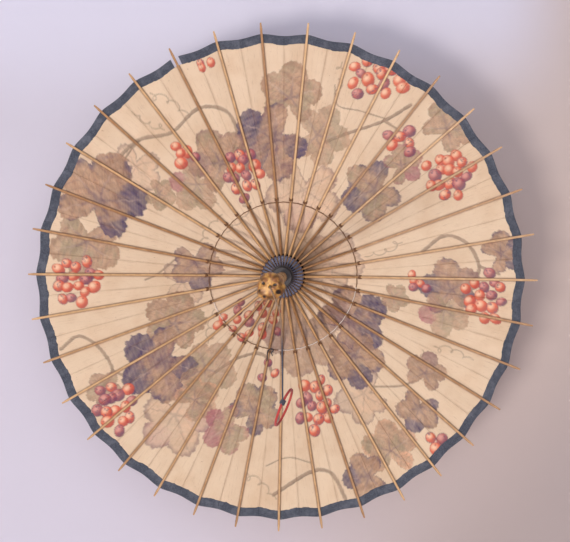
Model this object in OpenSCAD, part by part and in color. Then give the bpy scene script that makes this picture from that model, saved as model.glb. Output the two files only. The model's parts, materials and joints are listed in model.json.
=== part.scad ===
// Open oil paper umbrella: a paper canopy with a bound edge on split bamboo ribs, carried by
// stretchers from a notched runner that slides on a bamboo pole with a root knob and a hanging cord.
// Lengths are in millimetres and angles in degrees. The pole lies along Y with its knob towards -Y,
// Z is up, and the origin is on the pole's axis in the middle of the hand grip.

/* [Canopy] */
// Number of ribs, and of stretchers
rib_count = 35; // [30:1:38]
// Turn of the first rib from straight up, clockwise seen from the knob
rib_phase = 5.8; // [0:0.1:10]
// How far the ribs at both sides crowd towards the lower edge
rib_crowd = 2.5; // [0:0.1:3]
// Radius from the pole to the paper's edge
canopy_r = 300; // [260:5:340]
// Angle between an open rib and the pole
open_angle = 72; // [68:1:75]
// Angle between a folded rib and the pole
closed_angle = 4; // [4:0.5:6]
// Thickness of the oiled paper
paper_t = 0.6; // [0.4:0.1:0.8]
// How far the paper dips between two ribs at its edge
gore_sag = 2; // [0:0.5:3]
// How far the edge draws in between two ribs
gore_draw = 2.5; // [0:0.5:5]
// Width of the cloth band that binds the edge
border_w = 11; // [8:1:18]
// Thickness of the bound edge
border_t = 1; // [0.6:0.1:1.4]

/* [Ribs] */
// How far the rib ends reach past the paper
rib_overhang = 14; // [8:1:24]
// Width of a rib beside the hub
rib_hub_w = 2.4; // [2.2:0.1:2.8]
// Width of a rib at the canopy's edge
rib_edge_w = 3; // [2.6:0.1:4]
// Width of a rib at its very end
rib_end_w = 1.8; // [1.4:0.1:2.6]
// Depth of a rib between the hub and the stretcher
rib_h = 3.4; // [2.8:0.1:4]
// Depth of a rib at its end
rib_end_h = 2.2; // [1.6:0.1:2.6]
// Distance from a rib's hinge to its stretcher's pivot
pivot_s = 80; // [72:1:90]
// Thickness of the tongue that sits in the hub's slot
tongue_t = 1.5; // [1.2:0.1:1.7]

/* [Stretchers] */
// Width of a stretcher
stretcher_w = 2.6; // [2.2:0.1:2.8]
// Depth of a stretcher
stretcher_h = 2.8; // [2.4:0.1:3.2]
// Thickness of the tongues at a stretcher's ends
stretcher_tongue_t = 1.2; // [0.9:0.1:1.3]

/* [Hub and runner] */
// Radius of the circle of hinges in the hub and in the runner
hinge_r = 20; // [19.5:0.5:22]
// Outer radius of the notched flanges
flange_r = 27; // [26:0.5:28]
// Depth of the slots, given as the radius of their floor
slot_floor_r = 13.5; // [12.8:0.1:15]
// Radius of the runner's finger collar
collar_r = 11.5; // [10:0.5:12.5]
// Length of the finger collar
collar_l = 20; // [14:1:26]
// Diameter of the tie threads
thread_d = 0.76; // [0.6:0.02:0.8]

/* [Pole] */
// Diameter of the bamboo pole
pole_d = 13; // [12:0.5:14]
// Distance from the hub's hinges to the knob's end
knob_end_z = 462; // [440:2:500]
// Length of the bare grip between two bamboo nodes
grip_l = 160; // [140:5:180]
// Height of a bamboo node over the pole
node_rise = 0.7; // [0.4:0.1:1]
// Length of a bamboo node
node_l = 5; // [3:0.5:7]

/* [Cap] */
// Radius of the cap's rim
cap_r = 31; // [30:0.5:34]
// Height of the cap over the hub
cap_h = 17; // [14:1:22]
// Radius of the tip button
tip_r = 8.5; // [8:0.5:10]
// Length of the tip button
tip_l = 13; // [10:1:18]

/* [Knob] */
// Diameter of the bamboo root knob
knob_d = 25; // [21:0.5:32]
// Length of the knob
knob_l = 72; // [64:2:84]
// Diameter of the knob's neck
neck_d = 16.5; // [16:0.5:20]
// Number of growth rings on the knob
knob_rings = 6; // [4:1:8]
// Depth of the grooves between the growth rings
ring_groove = 0.9; // [0.4:0.1:1.4]
// Diameter of the root scars
scar_d = 3.2; // [2:0.2:4]
// Depth of the root scars
scar_depth = 0.7; // [0.3:0.1:1]
// Diameter of the hole for the hanging cord
cord_hole_d = 2.6; // [2.4:0.2:4]

/* [Catch] */
// Length of the catch above its pin
catch_l = 22; // [18:1:28]
// Width of the catch
catch_w = 2.4; // [2:0.1:3]
// Diameter of the catch pin
catch_pin_d = 1.6; // [1.4:0.1:2]

/* [Hanging cord] */
// Diameter of the cord
cord_d = 1.6; // [1.2:0.1:2]
// Diameter of the hitch that ties the cord to its ring
hitch_d = 5.6; // [5:0.2:7]
// Radius of the ring, to the middle of its cord
ring_r = 17; // [14:0.5:20]
// Diameter of the ring's cord
ring_d = 2.4; // [1.8:0.1:3]

/* [Hidden] */
$fn = 48;

// Clearances: tongue in slot, thread in hole, runner on pole, paper on rib, fixed pieces,
// rubbing faces, cap on paper
slot_gap = 0.2;
thread_gap = 0.12;
slide_gap = 0.12;
paper_gap = 0.35;
fit_gap = 0.03;
face_gap = 0.2;
cap_gap = 0.3;
// How far a cutting shape stands past what it cuts
over = 1;

pole_r = pole_d / 2;
slot_w = tongue_t + 2 * slot_gap;
runner_slot_w = stretcher_tongue_t + 2 * slot_gap;
thread_hole_d = thread_d + 2 * thread_gap;
rib_pitch = 360 / rib_count;

// Directions in the plane of one rib, as [radial, towards the knob]
rib_dir = [sin(open_angle), cos(open_angle)];
rib_out = [cos(open_angle), -sin(open_angle)];
rib_len = (canopy_r + rib_overhang - hinge_r) / rib_dir[0];
pivot_r = hinge_r + pivot_s * rib_dir[0];
pivot_z = pivot_s * rib_dir[1];
runner_z = 2 * pivot_z;
runner_travel = 2 * pivot_s * (cos(closed_angle) - cos(open_angle));

// Hub flange, as distances along the pole from the hinges
hub_floor = 5;
hub_rim_top = -0.5;
hub_shoulder_r = slot_floor_r - 0.5;
hub_shoulder_z = -5;
hub_neck_r = 11;
hub_neck_z = -14;
hub_skirt_z = 12;
// Runner flange, as distances along the pole from its hinges
runner_top = -4;
runner_floor = 4.5;
runner_head_z = -8;
runner_bead = 1.3;
runner_bead_l = 4;
runner_collar_z = 9;
runner_end_z = runner_collar_z + collar_l;
// A tongue clears the corner of its flange by this much
tongue_clear = 0.5;
tongue_l = norm([flange_r - hinge_r, hub_floor]) + tongue_clear;
stretcher_tongue_l = norm([flange_r - hinge_r, runner_floor]) + tongue_clear;
// Slit through the rib for the stretcher's outer tongue
pivot_tongue_l = 8;
slit_back = 9;
slit_front = 4;
slit_w = stretcher_tongue_t + 2 * slot_gap;
rib_taper_gap = 20;
rib_taper_s = pivot_s + rib_taper_gap;
rib_end_l = 7;

// Knob, grip and pole, as distances along the pole from the hinges
knob_z = knob_end_z - knob_l;
socket_l = 40;
cord_hole_l = 18;
pole_top_z = hub_neck_z - cap_h - tip_l / 2;
pole_end_z = knob_z + socket_l;
grip_end_gap = 12;
grip_z = knob_z - grip_end_gap - node_l - grip_l / 2;
node_zs = [grip_z - grip_l / 2 - node_l, grip_z + grip_l / 2];
peg_d = 2.4;
hub_peg_z = (hub_neck_z + hub_shoulder_z) / 2;
knob_peg_inset = 9;
knob_peg_z = knob_z + knob_peg_inset;

// Catch, flush in its slot, as distances along the pole from the hinges and out from its axis
catch_gap = 0.8;
catch_nose_z = runner_z + runner_end_z + catch_gap;
catch_pin_z = catch_nose_z + catch_l;
catch_tail = 6;
catch_out_x = pole_r - 0.35;
catch_in_x = 2.2;
catch_pin_x = 3.6;
catch_slot_x = 0.6;

// Canopy profile: [radius, distance from the hinges] of the paper's face on the ribs
function on_ribs(r, off) =
    let (s = (r - hinge_r - off * rib_out[0]) / rib_dir[0])
    [r, s * rib_dir[1] + off * rib_out[1]];
paper_off = rib_h / 2 + paper_gap;
paper_clear = 0.4;
paper_in_r = hub_shoulder_r + 0.6;
paper_bend_r = flange_r + 0.2;
paper_slope_r = flange_r + 2.2;
paper_edge_r = canopy_r - border_w - face_gap;
hub_top = [
    [paper_in_r, hub_shoulder_z - paper_clear],
    [paper_bend_r, hub_rim_top - paper_clear]
];
canopy_profile = concat(hub_top, [on_ribs(paper_slope_r, paper_off), on_ribs(paper_edge_r, paper_off)]);
border_profile = [on_ribs(canopy_r - border_w, paper_off), on_ribs(canopy_r, paper_off)];
gore_steps = 4;

// Hanging cord: points of its route from the knob's end, as [right, towards the viewer, up]
cord_points = [
    [0, -6, 0], [0, -2, 0], [0, 1, 0], [0.4, 4, -0.6], [1.6, 6.6, -2.8], [3.2, 8.2, -6.4], [5, 9, -10.8],
    [6.8, 9.2, -15.4], [8.4, 9.2, -20], [9.5, 9.2, -24.8], [10.1, 9, -29.6], [10.4, 9, -34.4],
    [10.6, 8.8, -39.2], [10.7, 8.8, -44], [10.8, 8.6, -48.8], [10.8, 8.6, -53.6], [10.8, 8.6, -58.4],
    [10.9, 8.4, -63.2], [10.9, 8.4, -68], [11, 8.4, -72.8], [11, 8.2, -77.6], [11.1, 8.2, -82.4],
    [11.1, 8.2, -87.2], [11.2, 8, -92], [11.2, 8, -97]
];
hitch_at = [11.2, 8, -100];
// Turns of the ring: its lean in the view, and its twist away from edge-on
ring_lean = 22;
ring_twist = -11;
// Place on the ring where the cord is hitched, up from its near side
ring_hitch = 20;
cord_sides = 8;

function rib_angle(i) =
    let (even = rib_phase + rib_pitch * (i - 1))
    even + rib_crowd * sin(even);
function rib_name(i) = str("rib_", i < 10 ? "0" : "", i);

bamboo = [0.78, 0.6, 0.38];
slate = [0.3, 0.34, 0.42];
lacquer = [0.16, 0.13, 0.13];
brass = [0.72, 0.58, 0.3];

// Turns shapes made along the pole, with z towards the knob and y up, into the umbrella's frame
module along_pole() {
    translate([0, grip_z, 0])
        rotate([90, 0, 0])
            children();
}

// Puts the x axis on the line of rib i
module at_rib(i) {
    rotate([0, 0, 90 - rib_angle(i)])
        children();
}

// A plate in the x-z plane, centred on y
module upright(width) {
    rotate([90, 0, 0])
        linear_extrude(height = width, center = true)
            children();
}

// A pin or hole across a rib, along y
module across(d, l) {
    rotate([90, 0, 0])
        cylinder(d = d, h = l, center = true);
}

// A thread ring, or the passage for one, round the pole
module ring_round_pole(r, d) {
    rotate_extrude()
        translate([r, 0])
            circle(d = d, $fn = 24);
}

// The radial slots of a notched flange, between two distances along the pole
module slots(width, from_z, to_z) {
    for (i = [1 : rib_count])
        at_rib(i)
            translate([slot_floor_r, -width / 2, from_z])
                cube([flange_r - slot_floor_r + over, width, to_z - from_z]);
}

module top_hub() {
    bore_r = pole_r + fit_gap;
    color(slate)
        along_pole()
            difference() {
                rotate_extrude()
                    polygon([
                        [bore_r, hub_neck_z], [hub_neck_r, hub_neck_z], [hub_neck_r, hub_shoulder_z - over],
                        [hub_shoulder_r, hub_shoulder_z], [flange_r, hub_rim_top], [flange_r, hub_floor],
                        [hub_shoulder_r, hub_floor + 2], [hub_neck_r, hub_skirt_z], [bore_r, hub_skirt_z]
                    ]);
                slots(slot_w, hub_shoulder_z - over, hub_floor + 2 + over);
                ring_round_pole(hinge_r, thread_hole_d);
                translate([0, 0, hub_peg_z])
                    across(peg_d + 2 * fit_gap, 2 * hub_neck_r + over);
            }
}

module hub_thread() {
    color("ivory")
        along_pole()
            ring_round_pole(hinge_r, thread_d);
}

module hub_peg() {
    color(bamboo)
        along_pole()
            translate([0, 0, hub_peg_z])
                across(peg_d, 2 * hub_neck_r - 2 * fit_gap - 0.4);
}

// Where the cap's under side lies at a radius: clear of the paper over the hub,
// and then of the paper on the ribs
function cap_under(r) =
    let (
        share = (r - paper_in_r) / (paper_bend_r - paper_in_r),
        on_hub = hub_shoulder_z + (hub_rim_top - hub_shoulder_z) * share - paper_clear - paper_t,
        on_slope = on_ribs(r, paper_off + paper_t)[1]
    )
    (r <= paper_bend_r ? on_hub : on_slope) - cap_gap;

module top_cap() {
    bore_r = pole_r + fit_gap;
    seat_r = hub_neck_r + face_gap;
    rim_r = cap_r - 1;
    bend_r = min(paper_bend_r, rim_r - 0.2);
    rim_z = cap_under(rim_r);
    top_z = hub_neck_z - cap_h;
    color(lacquer)
        along_pole()
            rotate_extrude()
                polygon(concat(
                    [[bore_r, hub_neck_z - face_gap], [seat_r, hub_neck_z - face_gap]],
                    [[seat_r, cap_under(paper_in_r)], [paper_in_r, cap_under(paper_in_r)]],
                    [[bend_r, cap_under(bend_r)], [rim_r, rim_z], [cap_r, rim_z - 1.2]],
                    [for (a = [0 : 15 : 90]) [
                        tip_r + (rim_r - tip_r) * pow(cos(a), 1.6),
                        rim_z - 1.6 + (top_z - rim_z + 1.6) * sin(a)
                    ]],
                    [[bore_r, top_z]]
                ));
}

module tip_button() {
    bore_r = pole_r + fit_gap;
    base_z = hub_neck_z - cap_h - face_gap;
    color(lacquer)
        along_pole()
            rotate_extrude()
                polygon(concat(
                    [
                        [0, pole_top_z - face_gap], [bore_r, pole_top_z - face_gap],
                        [bore_r, base_z], [tip_r, base_z]
                    ],
                    [for (a = [10 : 16 : 90]) [tip_r * cos(a), base_z - 3 - (tip_l - 3) * sin(a)]]
                ));
}

// The runner's own frame has its hinges at z 0
module at_runner() {
    along_pole()
        translate([0, 0, runner_z])
            children();
}

module runner() {
    bore_r = pole_r + slide_gap;
    bead_r = collar_r + runner_bead;
    color(slate)
        at_runner()
            difference() {
                rotate_extrude()
                    polygon([
                        [bore_r, runner_head_z], [collar_r - 0.5, runner_head_z],
                        [slot_floor_r - 1, runner_top - 0.5], [flange_r - 2, runner_top],
                        [flange_r, runner_top + 1.5], [flange_r, runner_floor - 1.5],
                        [flange_r - 1.5, runner_floor], [slot_floor_r - 0.5, runner_floor + 1],
                        [collar_r, runner_collar_z], [collar_r, runner_end_z - runner_bead_l],
                        [bead_r, runner_end_z - 0.7 * runner_bead_l], [bead_r, runner_end_z - 0.8],
                        [bead_r - 0.8, runner_end_z], [bore_r, runner_end_z]
                    ]);
                slots(runner_slot_w, runner_top - over, runner_floor + 2 * over);
                ring_round_pole(hinge_r, thread_hole_d);
            }
}

module runner_thread() {
    color("ivory")
        at_runner()
            ring_round_pole(hinge_r, thread_d);
}

// A rib along x from its hinge, with its paper side at -z
module rib() {
    tongue_end = rib_h / 2;
    paper_z = -rib_h / 2;
    color(bamboo)
        difference() {
            intersection() {
                linear_extrude(height = rib_h + 2 * over, center = true)
                    polygon([
                        [-tongue_end - over, -tongue_t / 2], [tongue_l, -tongue_t / 2],
                        [tongue_l, -rib_hub_w / 2],
                        [rib_len - rib_end_l, -rib_edge_w / 2], [rib_len, -rib_end_w / 2],
                        [rib_len, rib_end_w / 2], [rib_len - rib_end_l, rib_edge_w / 2],
                        [tongue_l, rib_hub_w / 2], [tongue_l, tongue_t / 2],
                        [-tongue_end - over, tongue_t / 2]
                    ]);
                upright(rib_edge_w + 2 * over)
                    union() {
                        circle(r = tongue_end);
                        polygon([
                            [0, paper_z], [rib_len, paper_z], [rib_len, paper_z + rib_end_h],
                            [rib_taper_s, rib_h / 2], [0, rib_h / 2]
                        ]);
                    }
            }
            across(thread_hole_d, tongue_t + over);
            translate([pivot_s, 0, 0])
                across(thread_hole_d, rib_edge_w + over);
            translate([pivot_s - slit_back, -slit_w / 2, paper_z - over])
                cube([slit_back + slit_front, slit_w, rib_h + 2 * over]);
        }
}

module rib_in_place(i) {
    along_pole()
        at_rib(i)
            translate([hinge_r, 0, 0])
                rotate([0, open_angle - 90, 0])
                    rib();
}

// A stretcher along x from its hinge in the runner to its pivot in the rib
module stretcher() {
    outer_x = pivot_s - pivot_tongue_l;
    end_r = stretcher_h / 2;
    difference() {
        intersection() {
            linear_extrude(height = stretcher_h + over, center = true)
                polygon([
                    [-end_r - over, -stretcher_tongue_t / 2], [stretcher_tongue_l, -stretcher_tongue_t / 2],
                    [stretcher_tongue_l, -stretcher_w / 2], [outer_x, -stretcher_w / 2],
                    [outer_x, -stretcher_tongue_t / 2], [pivot_s + end_r + over, -stretcher_tongue_t / 2],
                    [pivot_s + end_r + over, stretcher_tongue_t / 2], [outer_x, stretcher_tongue_t / 2],
                    [outer_x, stretcher_w / 2], [stretcher_tongue_l, stretcher_w / 2],
                    [stretcher_tongue_l, stretcher_tongue_t / 2], [-end_r - over, stretcher_tongue_t / 2]
                ]);
            upright(stretcher_w + over)
                union() {
                    circle(r = end_r);
                    translate([0, -end_r])
                        square([pivot_s, stretcher_h]);
                    translate([pivot_s, 0])
                        circle(r = end_r);
                }
        }
        across(thread_hole_d, stretcher_tongue_t + over);
        translate([pivot_s, 0, 0])
            across(thread_hole_d, stretcher_tongue_t + over);
    }
}

module stretchers() {
    color(bamboo)
        at_runner()
            for (i = [1 : rib_count])
                at_rib(i)
                    translate([hinge_r, 0, 0])
                        rotate([0, 90 - open_angle, 0])
                            stretcher();
}

module stretcher_thread() {
    color("ivory")
        along_pole()
            translate([0, 0, pivot_z])
                ring_round_pole(pivot_r, thread_d);
}

// A point of the paper: station [radius, z] on rib i, a share u of the way to the next rib, where the paper
// dips and draws in, more and more towards the edge
function on_rib(station, i) =
    [station[0] * sin(rib_angle(i)), station[0] * cos(rib_angle(i)), station[1]];
function paper_point(station, i, u) =
    let (
        grow = max(0, station[0] - paper_slope_r) / (canopy_r - paper_slope_r),
        bow = pow(sin(180 * u), 2),
        draw = 1 - gore_draw / canopy_r * grow * grow * bow,
        p = on_rib(station, i) * (1 - u) + on_rib(station, i + 1) * u
    )
    [p[0] * draw, p[1] * draw, p[2] + gore_sag * grow * bow];
function paper_ring(station) =
    [for (i = [1 : rib_count]) for (k = [0 : gore_steps - 1]) paper_point(station, i, k / gore_steps)];

// A closed skin of paper or cloth over the gores: along its profile on the ribs, and back at its thickness
module gore_skin(profile, t) {
    last = len(profile) - 1;
    around = rib_count * gore_steps;
    rows = concat(profile, [for (k = [last : -1 : 0]) profile[k] + t * rib_out]);
    count = len(rows);
    polyhedron([for (p = rows) each paper_ring(p)], [
        for (a = [0 : count - 1])
            for (b = [0 : around - 1])
                let (
                    here = a * around,
                    next = (a + 1) % count * around,
                    turn = (b + 1) % around
                )
                each [
                    [here + b, here + turn, next + turn],
                    [here + b, next + turn, next + b]
                ]
    ]);
}

module canopy() {
    color([0.91, 0.82, 0.66])
        along_pole()
            gore_skin(canopy_profile, paper_t);
}

module border() {
    color(slate)
        along_pole()
            gore_skin(border_profile, border_t);
}

module pole() {
    slot_l = catch_l + catch_tail + 2 * catch_gap;
    color(bamboo)
        along_pole()
            difference() {
                rotate_extrude()
                    polygon(concat(
                        [[0, pole_top_z], [pole_r, pole_top_z]],
                        [for (z = node_zs) each [
                            [pole_r, z], [pole_r + node_rise, z + 0.35 * node_l],
                            [pole_r + node_rise, z + 0.65 * node_l], [pole_r, z + node_l]
                        ]],
                        [[pole_r, pole_end_z], [0, pole_end_z]]
                    ));
                translate([catch_slot_x, -catch_w / 2 - face_gap, catch_nose_z - catch_gap])
                    cube([pole_r, catch_w + 2 * face_gap, slot_l]);
                translate([catch_pin_x, 0, catch_pin_z])
                    across(catch_pin_d + 2 * fit_gap, pole_d);
                for (z = [hub_peg_z, knob_peg_z])
                    translate([0, 0, z])
                        across(peg_d + 2 * fit_gap, pole_d + over);
            }
}

// The catch, a tongue that swings out of the pole below the runner
module catch() {
    color(brass)
        along_pole()
            difference() {
                upright(catch_w)
                    polygon([
                        [catch_in_x + 1.4, catch_nose_z], [catch_out_x, catch_nose_z],
                        [catch_out_x, catch_pin_z], [catch_out_x - 1, catch_pin_z + catch_tail],
                        [catch_in_x, catch_pin_z + catch_tail], [catch_in_x, catch_nose_z + 5]
                    ]);
                translate([catch_pin_x, 0, catch_pin_z])
                    across(catch_pin_d + 4 * fit_gap, catch_w + over);
            }
}

module catch_pin() {
    color(brass)
        along_pole()
            translate([catch_pin_x, 0, catch_pin_z])
                across(catch_pin_d, 2 * sqrt(pole_r * pole_r - catch_pin_x * catch_pin_x) - 1);
}

// Radius of the knob at a share t of its length: a swelling root with growth rings and a round end
function knob_radius(t) =
    let (
        swell = neck_d / 2 + (knob_d - neck_d) / 2 * sin(90 * min(1, t / 0.8)),
        ring = ring_groove * pow(abs(cos(180 * knob_rings * t)), 6),
        close = t < 0.86 ? 1 : sqrt(1 - 0.8 * pow((t - 0.86) / 0.14, 2))
    )
    (swell - ring) * close;

// A scar of a cut root, round the knob by an angle and a share t along it
module scar(angle, t) {
    dish_r = scar_d * scar_d / (8 * scar_depth) + scar_depth / 2;
    rotate([0, 0, angle])
        translate([knob_radius(t) + dish_r - scar_depth, 0, knob_z + knob_l * t])
            sphere(r = dish_r);
}

module root_knob() {
    steps = 6 * knob_rings;
    scar_rows = 3;
    scars = 5;
    color([0.8, 0.66, 0.36])
        along_pole()
            difference() {
                rotate_extrude()
                    polygon(concat(
                        [[0, knob_z]],
                        [for (k = [0 : steps]) [knob_radius(k / steps), knob_z + knob_l * k / steps]],
                        [[0, knob_end_z]]
                    ));
                for (row = [1 : scar_rows])
                    for (k = [1 : scars])
                        scar(
                            360 / scars * (k + 0.43 * row),
                            (knob_rings - scar_rows + row - 0.5) / knob_rings
                        );
                translate([0, 0, knob_z - over])
                    cylinder(r = pole_r + fit_gap, h = socket_l + face_gap + over);
                translate([0, 0, knob_end_z - cord_hole_l])
                    cylinder(d = cord_hole_d, h = cord_hole_l + over);
                translate([0, 0, knob_peg_z])
                    across(peg_d + 2 * fit_gap, knob_d);
            }
}

module knob_peg() {
    color(bamboo)
        along_pole()
            translate([0, 0, knob_peg_z])
                across(peg_d, neck_d - 0.6);
}

// A tube swept along a route, with the start of its rings turned to a fixed side
module tube(route, d) {
    last = len(route) - 1;
    points = [
        for (k = [0 : last])
            let (
                ahead = route[min(k + 1, last)] - route[max(k - 1, 0)],
                w = ahead / norm(ahead),
                side = cross(w, [1, 0, 0]),
                u = side / norm(side),
                v = cross(w, u)
            )
            each [for (a = [0 : cord_sides - 1])
                route[k] + d / 2 * (u * cos(360 * a / cord_sides) + v * sin(360 * a / cord_sides))]
    ];
    sides = [
        for (k = [0 : last - 1])
            for (a = [0 : cord_sides - 1])
                let (
                    p = k * cord_sides + a,
                    q = k * cord_sides + (a + 1) % cord_sides
                )
                each [[p, q, q + cord_sides], [p, q + cord_sides, p + cord_sides]]
    ];
    ends = [[for (a = [cord_sides - 1 : -1 : 0]) a], [for (a = [0 : cord_sides - 1]) last * cord_sides + a]];
    polyhedron(points, concat(sides, ends));
}

// The cord's own frame: its exit at the knob's end, with y away from the viewer and z up
module at_cord_exit() {
    translate([0, grip_z - knob_end_z, 0])
        children();
}

// A route's point, written with its second number towards the viewer, in the cord's frame
function cord_point(p) = [p[0], -p[1], p[2]];
function cord_route(route) = [for (p = route) cord_point(p)];

module hang_cord() {
    color([0.28, 0.29, 0.33])
        at_cord_exit()
            tube(cord_route(cord_points), cord_d);
}

module ring_frame() {
    translate(cord_point(hitch_at))
        rotate([0, ring_lean, 0])
            rotate([0, 0, ring_twist])
                rotate([0, 90, 0])
                    rotate([0, 0, -ring_hitch])
                        translate([0, ring_r, 0])
                            children();
}

module cord_hitch() {
    color(slate)
        difference() {
            at_cord_exit()
                translate(cord_point(hitch_at))
                    rotate_extrude()
                        polygon([for (a = [-90 : 18 : 90]) hitch_d / 2 * [cos(a), sin(a)]]);
            at_cord_exit()
                ring_frame()
                    ring_round_pole(ring_r, ring_d + 2 * fit_gap);
        }
}

module cord_ring() {
    color([0.75, 0.2, 0.2])
        at_cord_exit()
            ring_frame()
                ring_round_pole(ring_r, ring_d);
}

pole();
top_hub();
hub_thread();
hub_peg();
top_cap();
tip_button();
runner();
runner_thread();
stretchers();
stretcher_thread();
for (i = [1 : rib_count])
    rib_in_place(i);
canopy();
border();
root_knob();
knob_peg();
catch();
catch_pin();
hang_cord();
cord_hitch();
cord_ring();
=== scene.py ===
"""Dresses an open oil paper umbrella: printed paper on split bamboo ribs, seen from inside along its pole.

All sizes are in metres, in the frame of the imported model: the pole lies along Y with its knob
towards -Y, Z is up and the origin is in the middle of the grip.
"""

import json
import logging
import math
from dataclasses import dataclass, field
from enum import Enum
from typing import Sequence

import bpy
import numpy as np
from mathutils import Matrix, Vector

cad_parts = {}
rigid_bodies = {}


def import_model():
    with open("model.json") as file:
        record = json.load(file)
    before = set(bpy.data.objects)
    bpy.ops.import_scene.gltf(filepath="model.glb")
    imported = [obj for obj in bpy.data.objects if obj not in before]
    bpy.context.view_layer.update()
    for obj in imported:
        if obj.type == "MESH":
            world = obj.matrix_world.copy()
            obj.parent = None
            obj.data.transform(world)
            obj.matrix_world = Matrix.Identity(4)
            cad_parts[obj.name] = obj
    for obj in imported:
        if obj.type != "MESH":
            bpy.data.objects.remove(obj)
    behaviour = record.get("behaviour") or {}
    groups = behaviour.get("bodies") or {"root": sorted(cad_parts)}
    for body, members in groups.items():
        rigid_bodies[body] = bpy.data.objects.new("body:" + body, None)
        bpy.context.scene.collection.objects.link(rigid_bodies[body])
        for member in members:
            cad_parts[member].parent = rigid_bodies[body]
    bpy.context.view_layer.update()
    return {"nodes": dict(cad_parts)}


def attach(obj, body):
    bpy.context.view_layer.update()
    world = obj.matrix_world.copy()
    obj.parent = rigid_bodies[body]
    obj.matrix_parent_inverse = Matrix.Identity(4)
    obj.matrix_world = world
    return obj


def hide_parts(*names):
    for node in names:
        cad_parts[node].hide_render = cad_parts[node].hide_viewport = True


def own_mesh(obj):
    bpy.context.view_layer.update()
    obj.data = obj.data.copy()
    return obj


LOG = logging.getLogger("umbrella")
TURN = 2 * math.pi
PLIES = 2
Array = np.ndarray
Socket = bpy.types.NodeSocket
Piece = bpy.types.Object
Material = bpy.types.Material
Colour = tuple[float, float, float]
Point = tuple[float, float, float]


def tint(red: int, green: int, blue: int) -> Colour:
    """Turns a colour as seen on a screen, 0 to 255, into the linear one that shaders take.

    Args:
        red, green, blue: the screen values.

    Returns:
        The linear colour.
    """
    shares = np.array([red, green, blue]) / 255
    low, high = shares / 12.92, ((shares + 0.055) / 1.055) ** 2.4
    return tuple(float(c) for c in np.where(shares < 0.04045, low, high))


def darker(colour: Colour, share: float) -> Colour:
    """A colour with only a share of its light."""
    return tuple(c * share for c in colour)


def laid(under: Array, over: Sequence[float], share: Array) -> Array:
    """Colours with another colour laid over them, by a share per row."""
    return under * (1 - share)[:, None] + np.array(over) * share[:, None]


def smooth(edge_low: float, edge_high: float, value: Array) -> Array:
    """Smooth step: 0 below the low edge, 1 above the high one, and a cubic between them."""
    share = np.clip((value - edge_low) / (edge_high - edge_low), 0, 1)
    return share * share * (3 - 2 * share)


def wrapped(angle: Array) -> Array:
    """Angles brought between minus and plus half a turn."""
    return (angle + math.pi) % TURN - math.pi


def mottle(x: Array, y: Array, scale: float, seed: int) -> Array:
    """Cloudy value from -1 to 1: the mean of waves of seeded direction and phase.

    Args:
        x, y: the points.
        scale: length of the longest wave.
        seed: which clouds.

    Returns:
        One value per point.
    """
    waves, finer, weaker, spread = 6, 1.6, 1.25, 3.7
    draw = np.random.default_rng(seed)
    total = np.zeros_like(x)
    for octave in range(waves):
        turn, phase = draw.uniform(0, TURN, 2)
        pitch = TURN / scale * finer**octave
        total += np.sin(pitch * (x * math.cos(turn) + y * math.sin(turn)) + phase) / weaker**octave
    return total / spread


@dataclass(frozen=True)
class Plan:
    """The umbrella's shared sizes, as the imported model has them."""

    ribs: int = 35
    phase: float = math.radians(5.8)
    crowd: float = math.radians(2.5)
    hinge_r: float = 0.020
    hinge_y: float = 0.293
    open_angle: float = math.radians(72)
    closed_angle: float = math.radians(4)
    pivot_s: float = 0.080
    rib_h: float = 0.0034
    paper_gap: float = 0.00035
    paper_t: float = 0.0006
    canopy_r: float = 0.300
    slope_r: float = 0.0292
    border_w: float = 0.011
    border_t: float = 0.001
    gore_sag: float = 0.002
    scallop: float = 0.0025
    knob_end_z: float = 0.462
    knob_l: float = 0.072

    @property
    def pitch(self) -> float:
        """Angle from one rib to the next."""
        return TURN / self.ribs

    @property
    def slope(self) -> tuple[float, float]:
        """Sine and cosine of the open ribs' angle from the pole."""
        return math.sin(self.open_angle), math.cos(self.open_angle)

    @property
    def paper_off(self) -> float:
        """Height of the paper's inner face over a rib's middle plane."""
        return self.rib_h / 2 + self.paper_gap

    @property
    def runner_y(self) -> float:
        """Where the runner's hinges lie along the pole."""
        return self.hinge_y - 2 * self.pivot_s * math.cos(self.open_angle)

    @property
    def exit_y(self) -> float:
        """Where the knob ends and the cord leaves it."""
        return self.hinge_y - self.knob_end_z

    def angle(self, rib: int) -> float:
        """A rib's clockwise angle from straight up, seen from the knob: even steps that crowd low down."""
        even = self.phase + self.pitch * rib
        return even + self.crowd * math.sin(even)

    def outward(self, rib: int) -> Array:
        """Direction from the pole along a rib, square to the pole."""
        return np.array([math.sin(self.angle(rib)), 0, math.cos(self.angle(rib))])

    def sideways(self, rib: int) -> Array:
        """Direction across a rib, clockwise."""
        return np.array([math.cos(self.angle(rib)), 0, -math.sin(self.angle(rib))])

    def rib_point(self, rib: int, along: float) -> Array:
        """A point on a rib's middle line, by its distance from the hinge.

        Args:
            rib: the rib's number from 0.
            along: distance from the hinge.

        Returns:
            The point.
        """
        sine, cosine = self.slope
        reach = self.hinge_r + along * sine
        return self.outward(rib) * reach + np.array([0, self.hinge_y - along * cosine, 0])

    def slope_y(self, radius: Array, off: Array) -> Array:
        """Place along the pole of a skin that lies at a height over the ribs, at each radius.

        Args:
            radius: distance from the pole.
            off: height over the ribs' middle plane.

        Returns:
            The place along the pole, per radius.
        """
        sine, cosine = self.slope
        along = (radius - self.hinge_r - off * cosine) / sine
        return self.hinge_y - along * cosine + off * sine


PLAN = Plan()


# Meshes


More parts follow.
